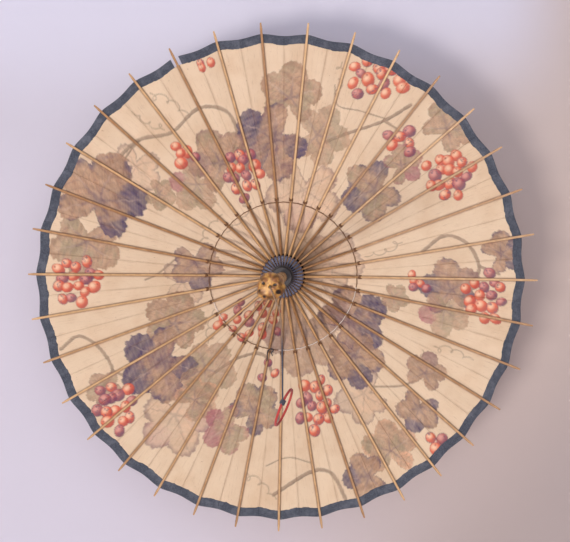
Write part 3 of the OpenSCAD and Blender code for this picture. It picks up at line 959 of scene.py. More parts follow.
@dataclass
class VinePrint:
    """A grapevine ornament: lobed leaves, grapes, stems and curled tendrils over the whole canopy."""

    leaves: tuple[Leaf, ...] = (
        Leaf(-185, 140, 40, 200, PEACH, ROSE, (), 0.62),
        Leaf(-130, -6, 38, 80, PEACH, ROSE, (), 0.6),
        Leaf(105, -150, 42, 250, PEACH, DUSK, (0, 3), 0.64),
        Leaf(-135, -175, 54, 160, PEACH, ROSE, (1, 2), 0.68),
        Leaf(28, 112, 58, 190, PEACH, ROSE, (0,), 0.66),
        Leaf(60, 20, 48, 100, PEACH, DUSK, (), 0.58),
        Leaf(-246, 44, 50, 190, OLIVE, TAUPE, (), 0.85),
        Leaf(-230, 96, 66, 24, TAUPE, PLUM, (1, 3), 0.92),
        Leaf(-158, 106, 24, 110, OLIVE, OLIVE, (), 0.8),
        Leaf(10, 225, 46, 10, OLIVE, TAUPE, (), 0.85),
        Leaf(44, 180, 44, 100, OLIVE, DUSK, (), 0.7),
        Leaf(-10, 175, 58, 235, DUSK, PLUM, (0, 1, 4), 0.92),
        Leaf(-78, 145, 48, 330, OLIVE, DUSK, (2,), 0.85),
        Leaf(-110, 118, 38, 215, OLIVE, ROSE, (1,), 0.7),
        Leaf(118, 112, 46, 245, OLIVE, PLUM, (0, 3), 0.85),
        Leaf(150, 140, 30, 60, OLIVE, ROSE, (1,), 0.8),
        Leaf(205, 185, 40, 40, OLIVE, TAUPE, (), 0.8),
        Leaf(-112, 18, 40, 170, DUSK, PLUM, (0,), 0.75),
        Leaf(-140, -62, 46, 15, OLIVE, TAUPE, (), 0.85),
        Leaf(-152, -108, 58, 235, DUSK, PLUM, (0, 1, 4), 0.92),
        Leaf(-100, -118, 44, 110, OLIVE, TAUPE, (), 0.7),
        Leaf(-112, -158, 34, 60, OLIVE, PEACH, (), 0.75),
        Leaf(-222, -142, 26, 320, OLIVE, DUSK, (), 0.75),
        Leaf(30, -72, 62, 195, TAUPE, DUSK, (1, 4), 0.71),
        Leaf(86, -60, 54, 60, DUSK, PLUM, (0, 1), 0.9),
        Leaf(92, -102, 44, 165, TAUPE, PLUM, (0,), 0.85),
        Leaf(142, -26, 22, 110, OLIVE, OLIVE, (), 0.75),
        Leaf(212, -18, 44, 350, DUSK, PLUM, (2, 3), 0.85),
        Leaf(205, -42, 36, 190, OLIVE, ROSE, (1,), 0.7),
        Leaf(272, 30, 32, 60, TAUPE, PLUM, (0, 1), 0.9),
        Leaf(180, -122, 30, 20, TAUPE, DUSK, (0,), 0.85),
        Leaf(172, -165, 32, 200, TAUPE, PLUM, (0, 4), 0.85),
        Leaf(136, -218, 40, 350, OLIVE, PEACH, (3,), 0.85),
        Leaf(108, -248, 34, 260, TAUPE, PLUM, (0,), 0.85),
        Leaf(-38, -172, 40, 45, OLIVE, PLUM, (3, 4), 0.85),
        Leaf(-68, -192, 36, 240, OLIVE, ROSE, (0, 1), 0.75),
    )
    bunches: tuple[Bunch, ...] = (
        Bunch(-258, -4, 30, 30, 17, 1), Bunch(118, 250, 40, 26, 17, 2, 8.2), Bunch(208, 128, 28, 30, 17, 3),
        Bunch(-52, 132, 24, 34, 15, 4), Bunch(-126, 156, 14, 16, 5, 5), Bunch(-208, -162, 26, 30, 15, 6),
        Bunch(-42, -58, 44, 28, 18, 7, 6.6), Bunch(44, -164, 26, 34, 16, 8), Bunch(252, -26, 24, 34, 15, 9),
        Bunch(152, 170, 20, 18, 6, 10), Bunch(194, -204, 18, 10, 3, 11), Bunch(-18, -124, 14, 12, 3, 12, 6.6),
        Bunch(170, -8, 14, 10, 5, 13, 6.2), Bunch(-96, 264, 10, 6, 3, 14, 6.0),
    )
    stems: tuple[Stem, ...] = (
        Stem(((-208, 146), (-180, 172), (-140, 182), (-105, 212), (-72, 210), (-58, 186), (-64, 160)), 4.4),
        Stem(((-180, 172), (-196, 150), (-200, 130)), 2.4),
        Stem(((56, 172), (84, 182), (128, 196), (160, 214)), 4.0),
        Stem(((128, 196), (150, 178), (155, 140)), 3.0),
        Stem(((130, 198), (100, 208), (70, 216), (66, 240)), 1.4),
        Stem(((178, 32), (205, 52), (232, 42), (246, 14), (240, -8)), 4.4),
        Stem(((246, 14), (270, 4)), 3.4),
        Stem(((-276, -90), (-254, -74), (-228, -92), (-214, -118), (-226, -140)), 4.0),
        Stem(((-214, -118), (-190, -130)), 3.2),
        Stem(((-94, -128), (-58, -106), (-26, -102), (-12, -130)), 4.0),
        Stem(((-10, -272), (34, -246), (62, -246), (82, -280)), 4.4),
        Stem(((-20, -238), (8, -228), (36, -234)), 1.3),
        Stem(((118, -140), (150, -138), (166, -132)), 2.2),
        Stem(((-130, 30), (-160, 4), (-176, -4)), 2.2),
    )
    curls: tuple[tuple[float, float, float, float], ...] = (
        (-142, 216, 10, 20), (-166, 196, 8, 200), (70, 246, 8, 90), (130, 36, 9, 150), (-92, -66, 8, 270),
        (-28, -262, 9, 30), (-58, 78, 9, 120), (-92, 62, 8, 300), (184, -112, 8, 60), (20, 58, 7, 220),
        (-100, 96, 6, 0), (214, -96, 9, 10),
    )
    stem_strength: float = 0.85
    curl_width: float = 1.1
    curl_strength: float = 0.7
    grape_strength: float = 0.92
    scatter: float = 2.6

    def colours(self, x: Array, z: Array) -> Array:
        """Paints the ornament.

        Args:
            x, z: places across the pole, in metres.

        Returns:
            Colour and strength of the ink, one row per place.
        """
        x, z = x * 1000, z * 1000
        ink = np.zeros((len(x), 4))
        ink[:, :3] = PEACH
        for leaf in self.leaves:
            if leaf.tone == PEACH:
                self._leaf(ink, x, z, leaf)
        for stem in self.stems:
            self._line(ink, x, z, np.array(stem.points, float), stem.width, BARK, self.stem_strength)
        for spec in self.curls:
            self._line(ink, x, z, self._curl(*spec), self.curl_width, TENDRIL, self.curl_strength)
        for leaf in self.leaves:
            if leaf.tone != PEACH:
                self._leaf(ink, x, z, leaf)
        for bunch in self.bunches:
            self._bunch(ink, x, z, bunch)
        ink[:, 3] *= 0.97 - 0.06 * mottle(x, z, 60, 91)
        return ink

    @staticmethod
    def _over(ink: Array, at: Array, colour: Array, strength: Array) -> None:
        """Lays ink over what is there, at the given places.

        Args:
            ink: the colours, changed in place.
            at: numbers of the places.
            colour: the new ink's colour.
            strength: its strength at each place.
        """
        held = ink[at, 3] * (1 - strength)
        total = np.maximum(held + strength, 1e-6)
        ink[at, :3] = (ink[at, :3] * held[:, None] + colour * strength[:, None]) / total[:, None]
        ink[at, 3] = held + strength

    def _leaf(self, ink: Array, x: Array, z: Array, leaf: Leaf) -> None:
        """Paints one leaf: five lobes round its stalk, veins along them, darker accents at chosen lobes.

        The outline's radius is an arch over each lobe's direction, less a saw edge and a notch at the stalk.

        Args:
            ink: the colours, changed in place.
            x, z: the places in millimetres.
            leaf: the leaf.
        """
        at = np.flatnonzero((x - leaf.x) ** 2 + (z - leaf.z) ** 2 < (1.25 * leaf.size) ** 2)
        seed = int(abs(leaf.x * 7 + leaf.z * 3)) + 1

        def cloud(scale: float, step: int) -> Array:
            """Clouds of the leaf's own."""
            return mottle(x[at], z[at], scale, seed + step)

        dx = x[at] - leaf.x + leaf.size * 0.05 * cloud(30, 0)
        dz = z[at] - leaf.z + leaf.size * 0.05 * cloud(30, 1)
        turn = wrapped(np.arctan2(dx, dz) - math.radians(leaf.turn))
        reach = np.hypot(dx, dz) / leaf.size
        gaps = wrapped(turn[:, None] - LOBE_WAYS)
        nearest = np.argmin(np.abs(gaps), 1)
        gap = np.take_along_axis(gaps, nearest[:, None], 1)[:, 0]
        arch = np.cos(np.clip(np.abs(gap) / 0.56, 0, 1) * math.pi / 2)
        teeth = np.abs(((gap * 5.5 + 0.5) % 1) - 0.5)
        notch = smooth(2.5, 3.1, np.abs(turn))
        rim = LOBE_LENGTHS[nearest] * (0.74 + 0.26 * arch**0.8) - 0.08 * teeth - 0.34 * notch
        inside = smooth(0.0, 0.03, rim - reach)
        edge = smooth(0.2, 0.02, rim - reach)
        veins = np.where(np.abs(gap) < 0.9, np.abs(reach * np.sin(gap)), 1)
        twigs = np.abs(((reach * 5.5 - np.abs(gap) * 3.0) % 1) - 0.5) + 0.25 * smooth(0.2, 0.1, reach)
        blush = cloud(0.9 * leaf.size, 2)
        plum = np.isin(nearest, leaf.lobes) * smooth(0.15, 0.65, reach + 0.3 * blush)
        plum = np.maximum(plum, 0.95 * edge * smooth(-0.45, 0.35, blush) * (leaf.strength > 0.7))
        plum = np.maximum(plum, 0.45 * smooth(0.3, 0.0, reach) * (leaf.strength > 0.7))
        shade = 1 + 0.3 * cloud(24, 3) + 0.2 * cloud(5, 4)
        wash = smooth(-0.35, 0.55, cloud(1.3 * leaf.size, 6))[:, None]
        body = np.array(leaf.tone) * wash + np.array(CLAY) * (1 - wash)
        colour = laid(body, leaf.accent, plum) * shade[:, None]
        heart = smooth(0.62, 0.15, reach)
        dark = 0.42 * smooth(0.10, 0.02, twigs) * smooth(0.95, 0.6, reach) * smooth(0.012, 0.05, veins)
        dark = np.maximum(dark, 0.75 * heart * smooth(0.045, 0.01, veins))
        lit = 0.42 * smooth(0.026, 0.004, veins) * smooth(1.0, 0.35, reach) * (1 - heart)
        if leaf.drawn:
            dark = np.maximum(np.maximum(dark * 0.7, 0.8 * edge), 0.6 * smooth(0.022, 0.004, veins))
            lit = lit * 0
        dark = np.clip(dark, 0, 1)
        colour = laid(laid(colour, VEIN, dark), LIT, lit)
        fade = leaf.strength * (0.94 + 0.1 * cloud(34, 5) + 0.2 * cloud(13, 7))
        if leaf.drawn:
            fade = fade * (0.45 + 0.55 * np.maximum(edge, dark))
        self._over(ink, at, colour, np.clip(inside * fade, 0, 1))

    def _bunch(self, ink: Array, x: Array, z: Array, bunch: Bunch) -> None:
        """Paints grapes in a sunflower layout: pale in the middle, red at the rim, some plum-coloured.

        Args:
            ink: the colours, changed in place.
            x, z: the places in millimetres.
            bunch: the bunch.
        """
        draw = np.random.default_rng(bunch.seed)
        order = np.arange(bunch.count)
        out = np.sqrt((order + 0.5) / bunch.count)
        turn = order * GOLDEN_TURN + draw.uniform(0, 6)
        across, up = bunch.wide * out * np.sin(turn), bunch.high * out * np.cos(turn)
        mids = np.stack([bunch.x + across, bunch.z + up], -1)
        mids += draw.uniform(-self.scatter, self.scatter, mids.shape)
        for mid in mids[np.argsort(-mids[:, 1])]:
            size = bunch.grape * draw.uniform(0.85, 1.12)
            long = draw.uniform(0.74, 0.96)
            lean = draw.uniform(0, math.pi)
            kind = draw.uniform()
            at = np.flatnonzero((np.abs(x - mid[0]) < 1.3 * size) & (np.abs(z - mid[1]) < 1.3 * size))
            dx, dz = x[at] - mid[0], z[at] - mid[1]
            along = dx * math.cos(lean) + dz * math.sin(lean)
            aside = dz * math.cos(lean) - dx * math.sin(lean)
            reach = np.hypot(along, aside / long) / size
            skin, deep, gloss = GRAPES[0 if kind > 0.3 else 1]
            low = smooth(-0.3, 0.95, (dx - dz) / size * 0.7)
            glow = 0.85 * smooth(0.8, 0.12, np.hypot(dx / size + 0.26, dz / size - 0.28))
            colour = laid(laid(np.array(skin), deep, low), gloss, glow)
            bruised = kind < 0.6
            bruise = smooth(0.1, 0.8, mottle(x[at], z[at], 10, bunch.seed + 40)) * (0.9 if bruised else 0.25)
            rim = 0.7 * smooth(0.78, 1.0, reach)
            tip = 0.8 * smooth(0.2, 0.1, np.hypot(along / size - 0.6, aside / size))
            dark = np.maximum(np.maximum(bruise, rim), tip)
            colour = laid(colour, BLOOM if bruised else deep, dark)
            self._over(ink, at, colour, self.grape_strength * smooth(1.06, 0.94, reach))

    def _line(
        self, ink: Array, x: Array, z: Array, points: Array, width: float, colour: Colour, strength: float
    ) -> None:
        """Paints a smooth line through points, with a darker under side.

        Args:
            ink: the colours, changed in place.
            x, z: the places in millimetres.
            points: what the line passes through, in millimetres.
            width: its width.
            colour: its colour.
            strength: its strength.
        """
        path = spline(points, 2.0)
        low, high = path.min(0) - width, path.max(0) + width
        at = np.flatnonzero((x > low[0]) & (x < high[0]) & (z > low[1]) & (z < high[1]))
        spots = np.stack([x[at], z[at]], -1)
        best, under = np.full(len(at), 1e9), np.zeros(len(at))
        for start, way in zip(path[:-1], np.diff(path, axis=0)):
            share = np.clip((spots - start) @ way / max(way @ way, 1e-9), 0, 1)
            away = spots - start - share[:, None] * way
            apart = np.linalg.norm(away, axis=1)
            under = np.where(apart < best, (away[:, 0] - away[:, 1]) / width, under)
            best = np.minimum(best, apart)
        half = width / 2 * (0.85 + 0.3 * mottle(x[at], z[at], 22, 17))
        shade = 1 + 0.25 * mottle(x[at], z[at], 9, 23) - 0.5 * smooth(0.05, 0.5, under)
        cover = strength * smooth(half + 0.7, half - 0.4, best)
        self._over(ink, at, np.array(colour) * shade[:, None], cover)

    @staticmethod
    def _curl(x: float, z: float, size: float, turn: float) -> Array:
        """A tendril: three loops in a row that grow smaller, a circle's turns that drift along its way.

        Args:
            x, z: its middle in millimetres.
            size: how large its loops are, in millimetres.
            turn: the way that it runs, in degrees.

        Returns:
            Points that its line passes through.
        """
        share = np.linspace(0, 1, 24)
        start = math.radians(turn)
        spin = start + share * 6.4 * math.pi
        coil = 0.62 * size * (1 - 0.55 * share)
        way = np.array([math.cos(start), -math.sin(start)])
        across = np.array([-way[1], way[0]])
        drift = np.outer((share - 0.5) * 5.2 * size, way) + np.outer(np.sin(share * 4) * size * 0.5, across)
        loops = np.stack([np.sin(spin), 0.8 * np.cos(spin)], -1) * coil[:, None]
        return np.array([x, z]) + drift + loops


# Sub-assemblies


@dataclass
class Canopy:
    """The paper and its bound edge, in one strip for each rib, which rides on its rib.

    The strips meet in mid gore, where their points coincide, so the skin has no break when it is open.
    """

    plan: Plan
    rows: int = 232
    cols: int = 41
    lap: float = 0.001
    swell: float = 0.00025
    swell_wave: float = 0.05
    skin_share: float = 0.8
    border_rows: int = 11
    border_seat: float = 0.00018
    pucker: float = 0.00022
    pucker_wave: float = 0.02
    fold_keep: float = 0.12
    fold_at: float = 0.1
    torn_rib: int = 32
    torn: tuple[float, float] = (-0.085, 0.10)
    torn_cols: int = 15
    left_reach: float = 0.018
    ornament: VinePrint = field(default_factory=VinePrint)

    def skin(self, rib: int, radius: Array, share: Array, off: Array) -> Array:
        """Points of the skin round one rib.

        A point lies on the straight line from its rib to the next one, at its radius, and moves
        towards the knob and inwards by the dip of the gore, which is half a fold and half a curve.
        The radius grows by a small share that is full at the left edge and none at the right one.

        Args:
            rib: the rib's number from 0.
            radius: distance from the pole at the rib, any shape.
            share: share of the way to the next rib, from -0.5 to 0.5.
            off: height over the ribs' middle plane.

        Returns:
            Points, with a last axis of x, y, z.
        """
        plan = self.plan
        here, part = plan.angle(rib), np.abs(share)
        beside = np.where(share < 0, plan.angle(rib - 1), plan.angle(rib + 1))
        grow = np.clip((radius - plan.slope_r) / (plan.canopy_r - plan.slope_r), 0, 1.1)
        left = 0.5 - 0.5 * np.sin(here + (beside - here) * part)
        radius = radius * (1 + self.left_reach * grow * left**2)
        curve = np.sin(math.pi * part) ** 2
        draw = 1 - plan.scallop * grow**2 * curve / plan.canopy_r
        x = radius * draw * (math.sin(here) * (1 - part) + np.sin(beside) * part)
        z = radius * draw * (math.cos(here) * (1 - part) + np.cos(beside) * part)
        y = plan.slope_y(radius, off) - plan.gore_sag * grow * (0.5 * curve + part)
        return np.stack([x, y, z], -1)

    def strip(self, name: str, rib: int, radius: Array, share: Array, offs: tuple[Array, Array]) -> Piece:
        """A closed thin strip round one rib: its inner face, then its outer face, ring by ring.

        Args:
            name: the piece's name.
            rib: the rib's number from 0.
            radius: distance from the pole, per row and column.
            share: place across the gores, per row and column.
            offs: height of the inner and of the outer face, per row and column.

        Returns:
            The piece.
        """
        inner, outer = (self.skin(rib, radius, share, off) for off in offs)
        points = np.concatenate([inner, outer[:, ::-1]], 1).reshape(-1, 3)
        uv = np.stack([share + 0.5, radius / self.plan.canopy_r], -1)
        uv = np.concatenate([uv, uv[:, ::-1]], 1).reshape(-1, 2)
        rows, cols = radius.shape
        return make_piece(name, points, tube_faces(rows, 2 * cols, True), uv)

    def fold(self, piece: Piece, rib: int) -> None:
        """Gives a strip a mesh of its own; the axis and anchor of a fold beside its rib are worked out but
        not used.
        """
        axis, anchor = self.plan.sideways(rib), self.plan.rib_point(rib, self.fold_at)
        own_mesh(piece)

    def build(self, paper: Material, cloth: Material) -> None:
        """Makes all strips of paper and binding.

        Args:
            paper: the paper's finish.
            cloth: the binding's finish.
        """
        plan = self.plan
        radii = np.linspace(plan.slope_r, plan.canopy_r - plan.border_w + self.lap, self.rows)
        radius, share = np.meshgrid(radii, np.linspace(-0.5, 0.5, self.cols), indexing="ij")
        for rib in range(plan.ribs):
            body = f"rib_{rib + 1:02d}"
            spot = self.skin(rib, radius, share, plan.paper_off)
            x, z = spot[..., 0], spot[..., 2]
            swell = self.swell * mottle(x, z, self.swell_wave, 5) * np.sin(math.pi * np.abs(share)) ** 2
            inner = plan.paper_off + swell
            offs = (inner, inner + plan.paper_t * self.skin_share)
            piece = self.strip(f"paper_{rib + 1:02d}", rib, radius, share, offs)
            ink = self.ornament.colours(x.ravel(), z.ravel()).reshape(self.rows, self.cols, 4)
            paint(piece, "print", np.concatenate([ink, ink[:, ::-1]], 1).reshape(-1, 4))
            hand_over(piece, paper, body, "canopy")
            self.fold(piece, rib)
            self.binding(rib, cloth)
        LOG.info("canopy: %d strips of paper with their binding", plan.ribs)

    def binding(self, rib: int, cloth: Material) -> None:
        """The band that binds the edge round one rib: a flat folded band, puckered along its length.

        Args:
            rib: the rib's number from 0.
            cloth: the band's finish.
        """
        plan, body = self.plan, f"rib_{rib + 1:02d}"
        radii = np.linspace(plan.canopy_r - plan.border_w, plan.canopy_r, self.border_rows)
        spans = [("", np.linspace(-0.5, 0.5, self.cols))]
        if rib == self.torn_rib:
            spans = [("_a", np.linspace(-0.5, self.torn[0], self.torn_cols)),
                     ("_b", np.linspace(self.torn[1], 0.5, self.torn_cols))]
        for tag, shares in spans:
            radius, share = np.meshgrid(radii, shares, indexing="ij")
            spot = self.skin(rib, radius, share, plan.paper_off)
            edge = np.abs(2 * (radius - radii[0]) / plan.border_w - 1)
            clouds = mottle(spot[..., 0], spot[..., 2], self.pucker_wave, 8)
            pucker = self.pucker * clouds * np.sin(math.pi * np.abs(share))
            pad = plan.border_t * 0.5 * (1 - 0.55 * edge**4)
            level = plan.paper_off + plan.border_t / 2 - self.border_seat + pucker
            piece = self.strip(f"binding_{rib + 1:02d}{tag}", rib, radius, share, (level - pad, level + pad))
            hand_over(piece, cloth, body, "border")
            self.fold(piece, rib)


@dataclass
class Stretchers:
    """The sticks from the runner to the ribs, each thinned to a tongue at both ends."""

    plan: Plan
    width: float = 0.0022
    height: float = 0.0028
    tongue: float = 0.0012
    inner_tongue: float = 0.0088
    outer_tongue: float = 0.008
    shoulder: float = 0.0006
    corner: float = 0.22
    sides: int = 16

    def stick(self, rib: int) -> tuple[Array, Array]:
        """Points and faces of one stick: a rounded oblong carried along it, thinner in its two tongues.

        Args:
            rib: the rib's number from 0.

        Returns:
            Points and faces.
        """
        plan = self.plan
        sine, cosine = plan.slope
        end, full = self.height / 2, plan.pivot_s
        near, far = self.inner_tongue, full - self.outer_tongue
        along = np.array([-end, -end * 0.75, 0, near, near + self.shoulder, full / 3, 2 * full / 3,
                          far - self.shoulder, far, full, full + end * 0.75, full + end])
        half_w = np.repeat([self.tongue / 2, self.width / 2, self.tongue / 2], 4)
        half_h = end * np.array([0.45, 0.8, 1, 1, 1, 1.04, 1.02, 1, 1, 1, 0.8, 0.45])
        turn = np.linspace(0, TURN, self.sides, endpoint=False) + math.pi / self.sides
        ring = np.stack([np.cos(turn), np.sin(turn)], -1)
        ring = np.sign(ring) * np.abs(ring) ** self.corner
        side = plan.sideways(rib)
        way = plan.outward(rib) * sine + np.array([0, cosine, 0])
        start = plan.outward(rib) * plan.hinge_r + np.array([0, plan.runner_y, 0])
        points = (start + along[:, None, None] * way
                  + (half_w[:, None] * ring[:, 0])[..., None] * side
                  + (half_h[:, None] * ring[:, 1])[..., None] * np.cross(way, side))
        return points.reshape(-1, 3), tube_faces(len(along), self.sides, True)

    def build(self, bamboo: Material) -> None:
        """Makes all sticks.

        Args:
            bamboo: the sticks' finish.
        """
        plan = self.plan
        for rib in range(plan.ribs):
            piece = make_piece(f"stretcher_{rib + 1:02d}", *self.stick(rib), soft=False)
            hand_over(piece, bamboo, "runner", "stretchers")
            anchor = plan.outward(rib) * plan.hinge_r
            tuple(plan.outward(rib))
            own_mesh(piece)
        LOG.info("stretchers: %d sticks", plan.ribs)


@dataclass
class Threads:
    """The thread through the pivots of ribs and stretchers, with a few turns round each pivot.

    One stretch has a dark thread tied on, whose two tails are written in millimetres as right, towards
    the viewer and up from the tie.
    """

    plan: Plan
    thick: float = 0.0011
    sag: float = 0.0012
    lay: float = 0.004
    sides: int = 8
    steps: int = 25
    wraps: int = 3
    wrap_steps: int = 20
    wrap_sides: int = 6
    wrap_span: tuple[float, float] = (0.0030, 0.0060)
    wrap_half: tuple[float, float] = (0.00205, 0.0021)
    wrap_corner: float = 0.45
    fold_keep: float = 0.12
    tie_rib: int = 18
    tie_step: int = 7
    tail_lay: float = 0.003
    tails: tuple[tuple[Point, ...], ...] = (
        ((0.4, 1.2, 0.6), (-2.4, 2.6, 0.8), (-5.0, 3.6, -1.8), (-6.2, 5.0, -6.6), (-6.0, 6.4, -11.0),
         (-6.6, 7.4, -14.5)),
        ((-0.6, 1.2, 0.5), (1.5, 2.6, -1.2), (-0.6, 3.6, -4.2), (0.9, 4.8, -8.0)),
    )

    def stretch(self, rib: int) -> Array:
        """Middle line of the thread from mid gore to mid gore: a straight line that sags by a cosine.

        Args:
            rib: the rib's number from 0.

        Returns:
            Points of the line.
        """
        plan = self.plan
        pivot = plan.rib_point(rib, plan.pivot_s)
        share = np.linspace(-1, 1, self.steps)
        before, here, after = (plan.angle(rib + step) for step in (-1, 0, 1))
        gore = np.where(share < 0, here - before, after - here)
        half = np.tan(gore / 2) * np.linalg.norm(pivot[[0, 2]])
        path = pivot + (share * half)[:, None] * plan.sideways(rib)
        path[:, 1] -= self.sag * (1 - np.cos(math.pi * share)) / 2
        return path

    def wrap(self, rib: int) -> tuple[Array, Array]:
        """Points and faces of the turns round one rib: a squared helix along it, just past the pivot.

        Args:
            rib: the rib's number from 0.

        Returns:
            Points and faces.
        """
        plan = self.plan
        spin = np.linspace(0, TURN * self.wraps, self.wrap_steps * self.wraps)
        side, way = plan.sideways(rib), plan.rib_point(rib, 1) - plan.rib_point(rib, 0)
        squared = np.stack([np.cos(spin), np.sin(spin)], -1)
        squared = np.sign(squared) * np.abs(squared) ** self.wrap_corner * np.array(self.wrap_half)
        coil = (plan.rib_point(rib, plan.pivot_s) + np.linspace(*self.wrap_span, len(spin))[:, None] * way
                + squared[:, :1] * side + squared[:, 1:] * np.cross(side, way))
        points = carried_tube(coil, self.thick * 0.4, self.wrap_sides, tuple(way))
        return points, tube_faces(len(coil), self.wrap_sides, True)

    def tail(self, tie: Array, points: Sequence[Point]) -> tuple[Array, Array]:
        """Points and faces of one tail: a twisted tube along a smooth line from the tie.

        Args:
            tie: where it is tied on.
            points: the tail's points.

        Returns:
            Points and faces.
        """
        away = np.array(points, float) / 1000 * np.array([1, -1, 1])
        return yarn(spline(tie + away, 0.0005), self.thick * 0.6, self.sides, self.tail_lay, (0, 1, 0))

    def build(self, cotton: Material) -> None:
        """Makes one stretch of thread for each rib, with its wrap and any tails.

        Args:
            cotton: the thread's finish.
        """
        plan = self.plan
        for rib in range(plan.ribs):
            path = self.stretch(rib)
            parts = [yarn(path, self.thick / 2, self.sides, self.lay, (0, 1, 0)), self.wrap(rib)]
            if rib == self.tie_rib:
                parts += [self.tail(path[self.tie_step], points) for points in self.tails]
            counts = [len(points) for points, _ in parts]
            starts = np.cumsum([0, *counts[:-1]])
            faces = np.concatenate([part[1] + start for part, start in zip(parts, starts)])
            piece = make_piece(f"thread_{rib + 1:02d}", np.vstack([points for points, _ in parts]), faces)
            tone = np.repeat(np.minimum(np.arange(len(parts)), 2) / 2, counts)
            paint(piece, "tone", np.stack([tone, tone, tone, np.ones_like(tone)], -1))
            hand_over(piece, cotton, f"rib_{rib + 1:02d}", "stretcher_thread")
            axis, anchor = tuple(plan.sideways(rib)), tuple(plan.rib_point(rib, plan.pivot_s))
            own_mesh(piece)
        LOG.info("threads: %d stretches", plan.ribs)


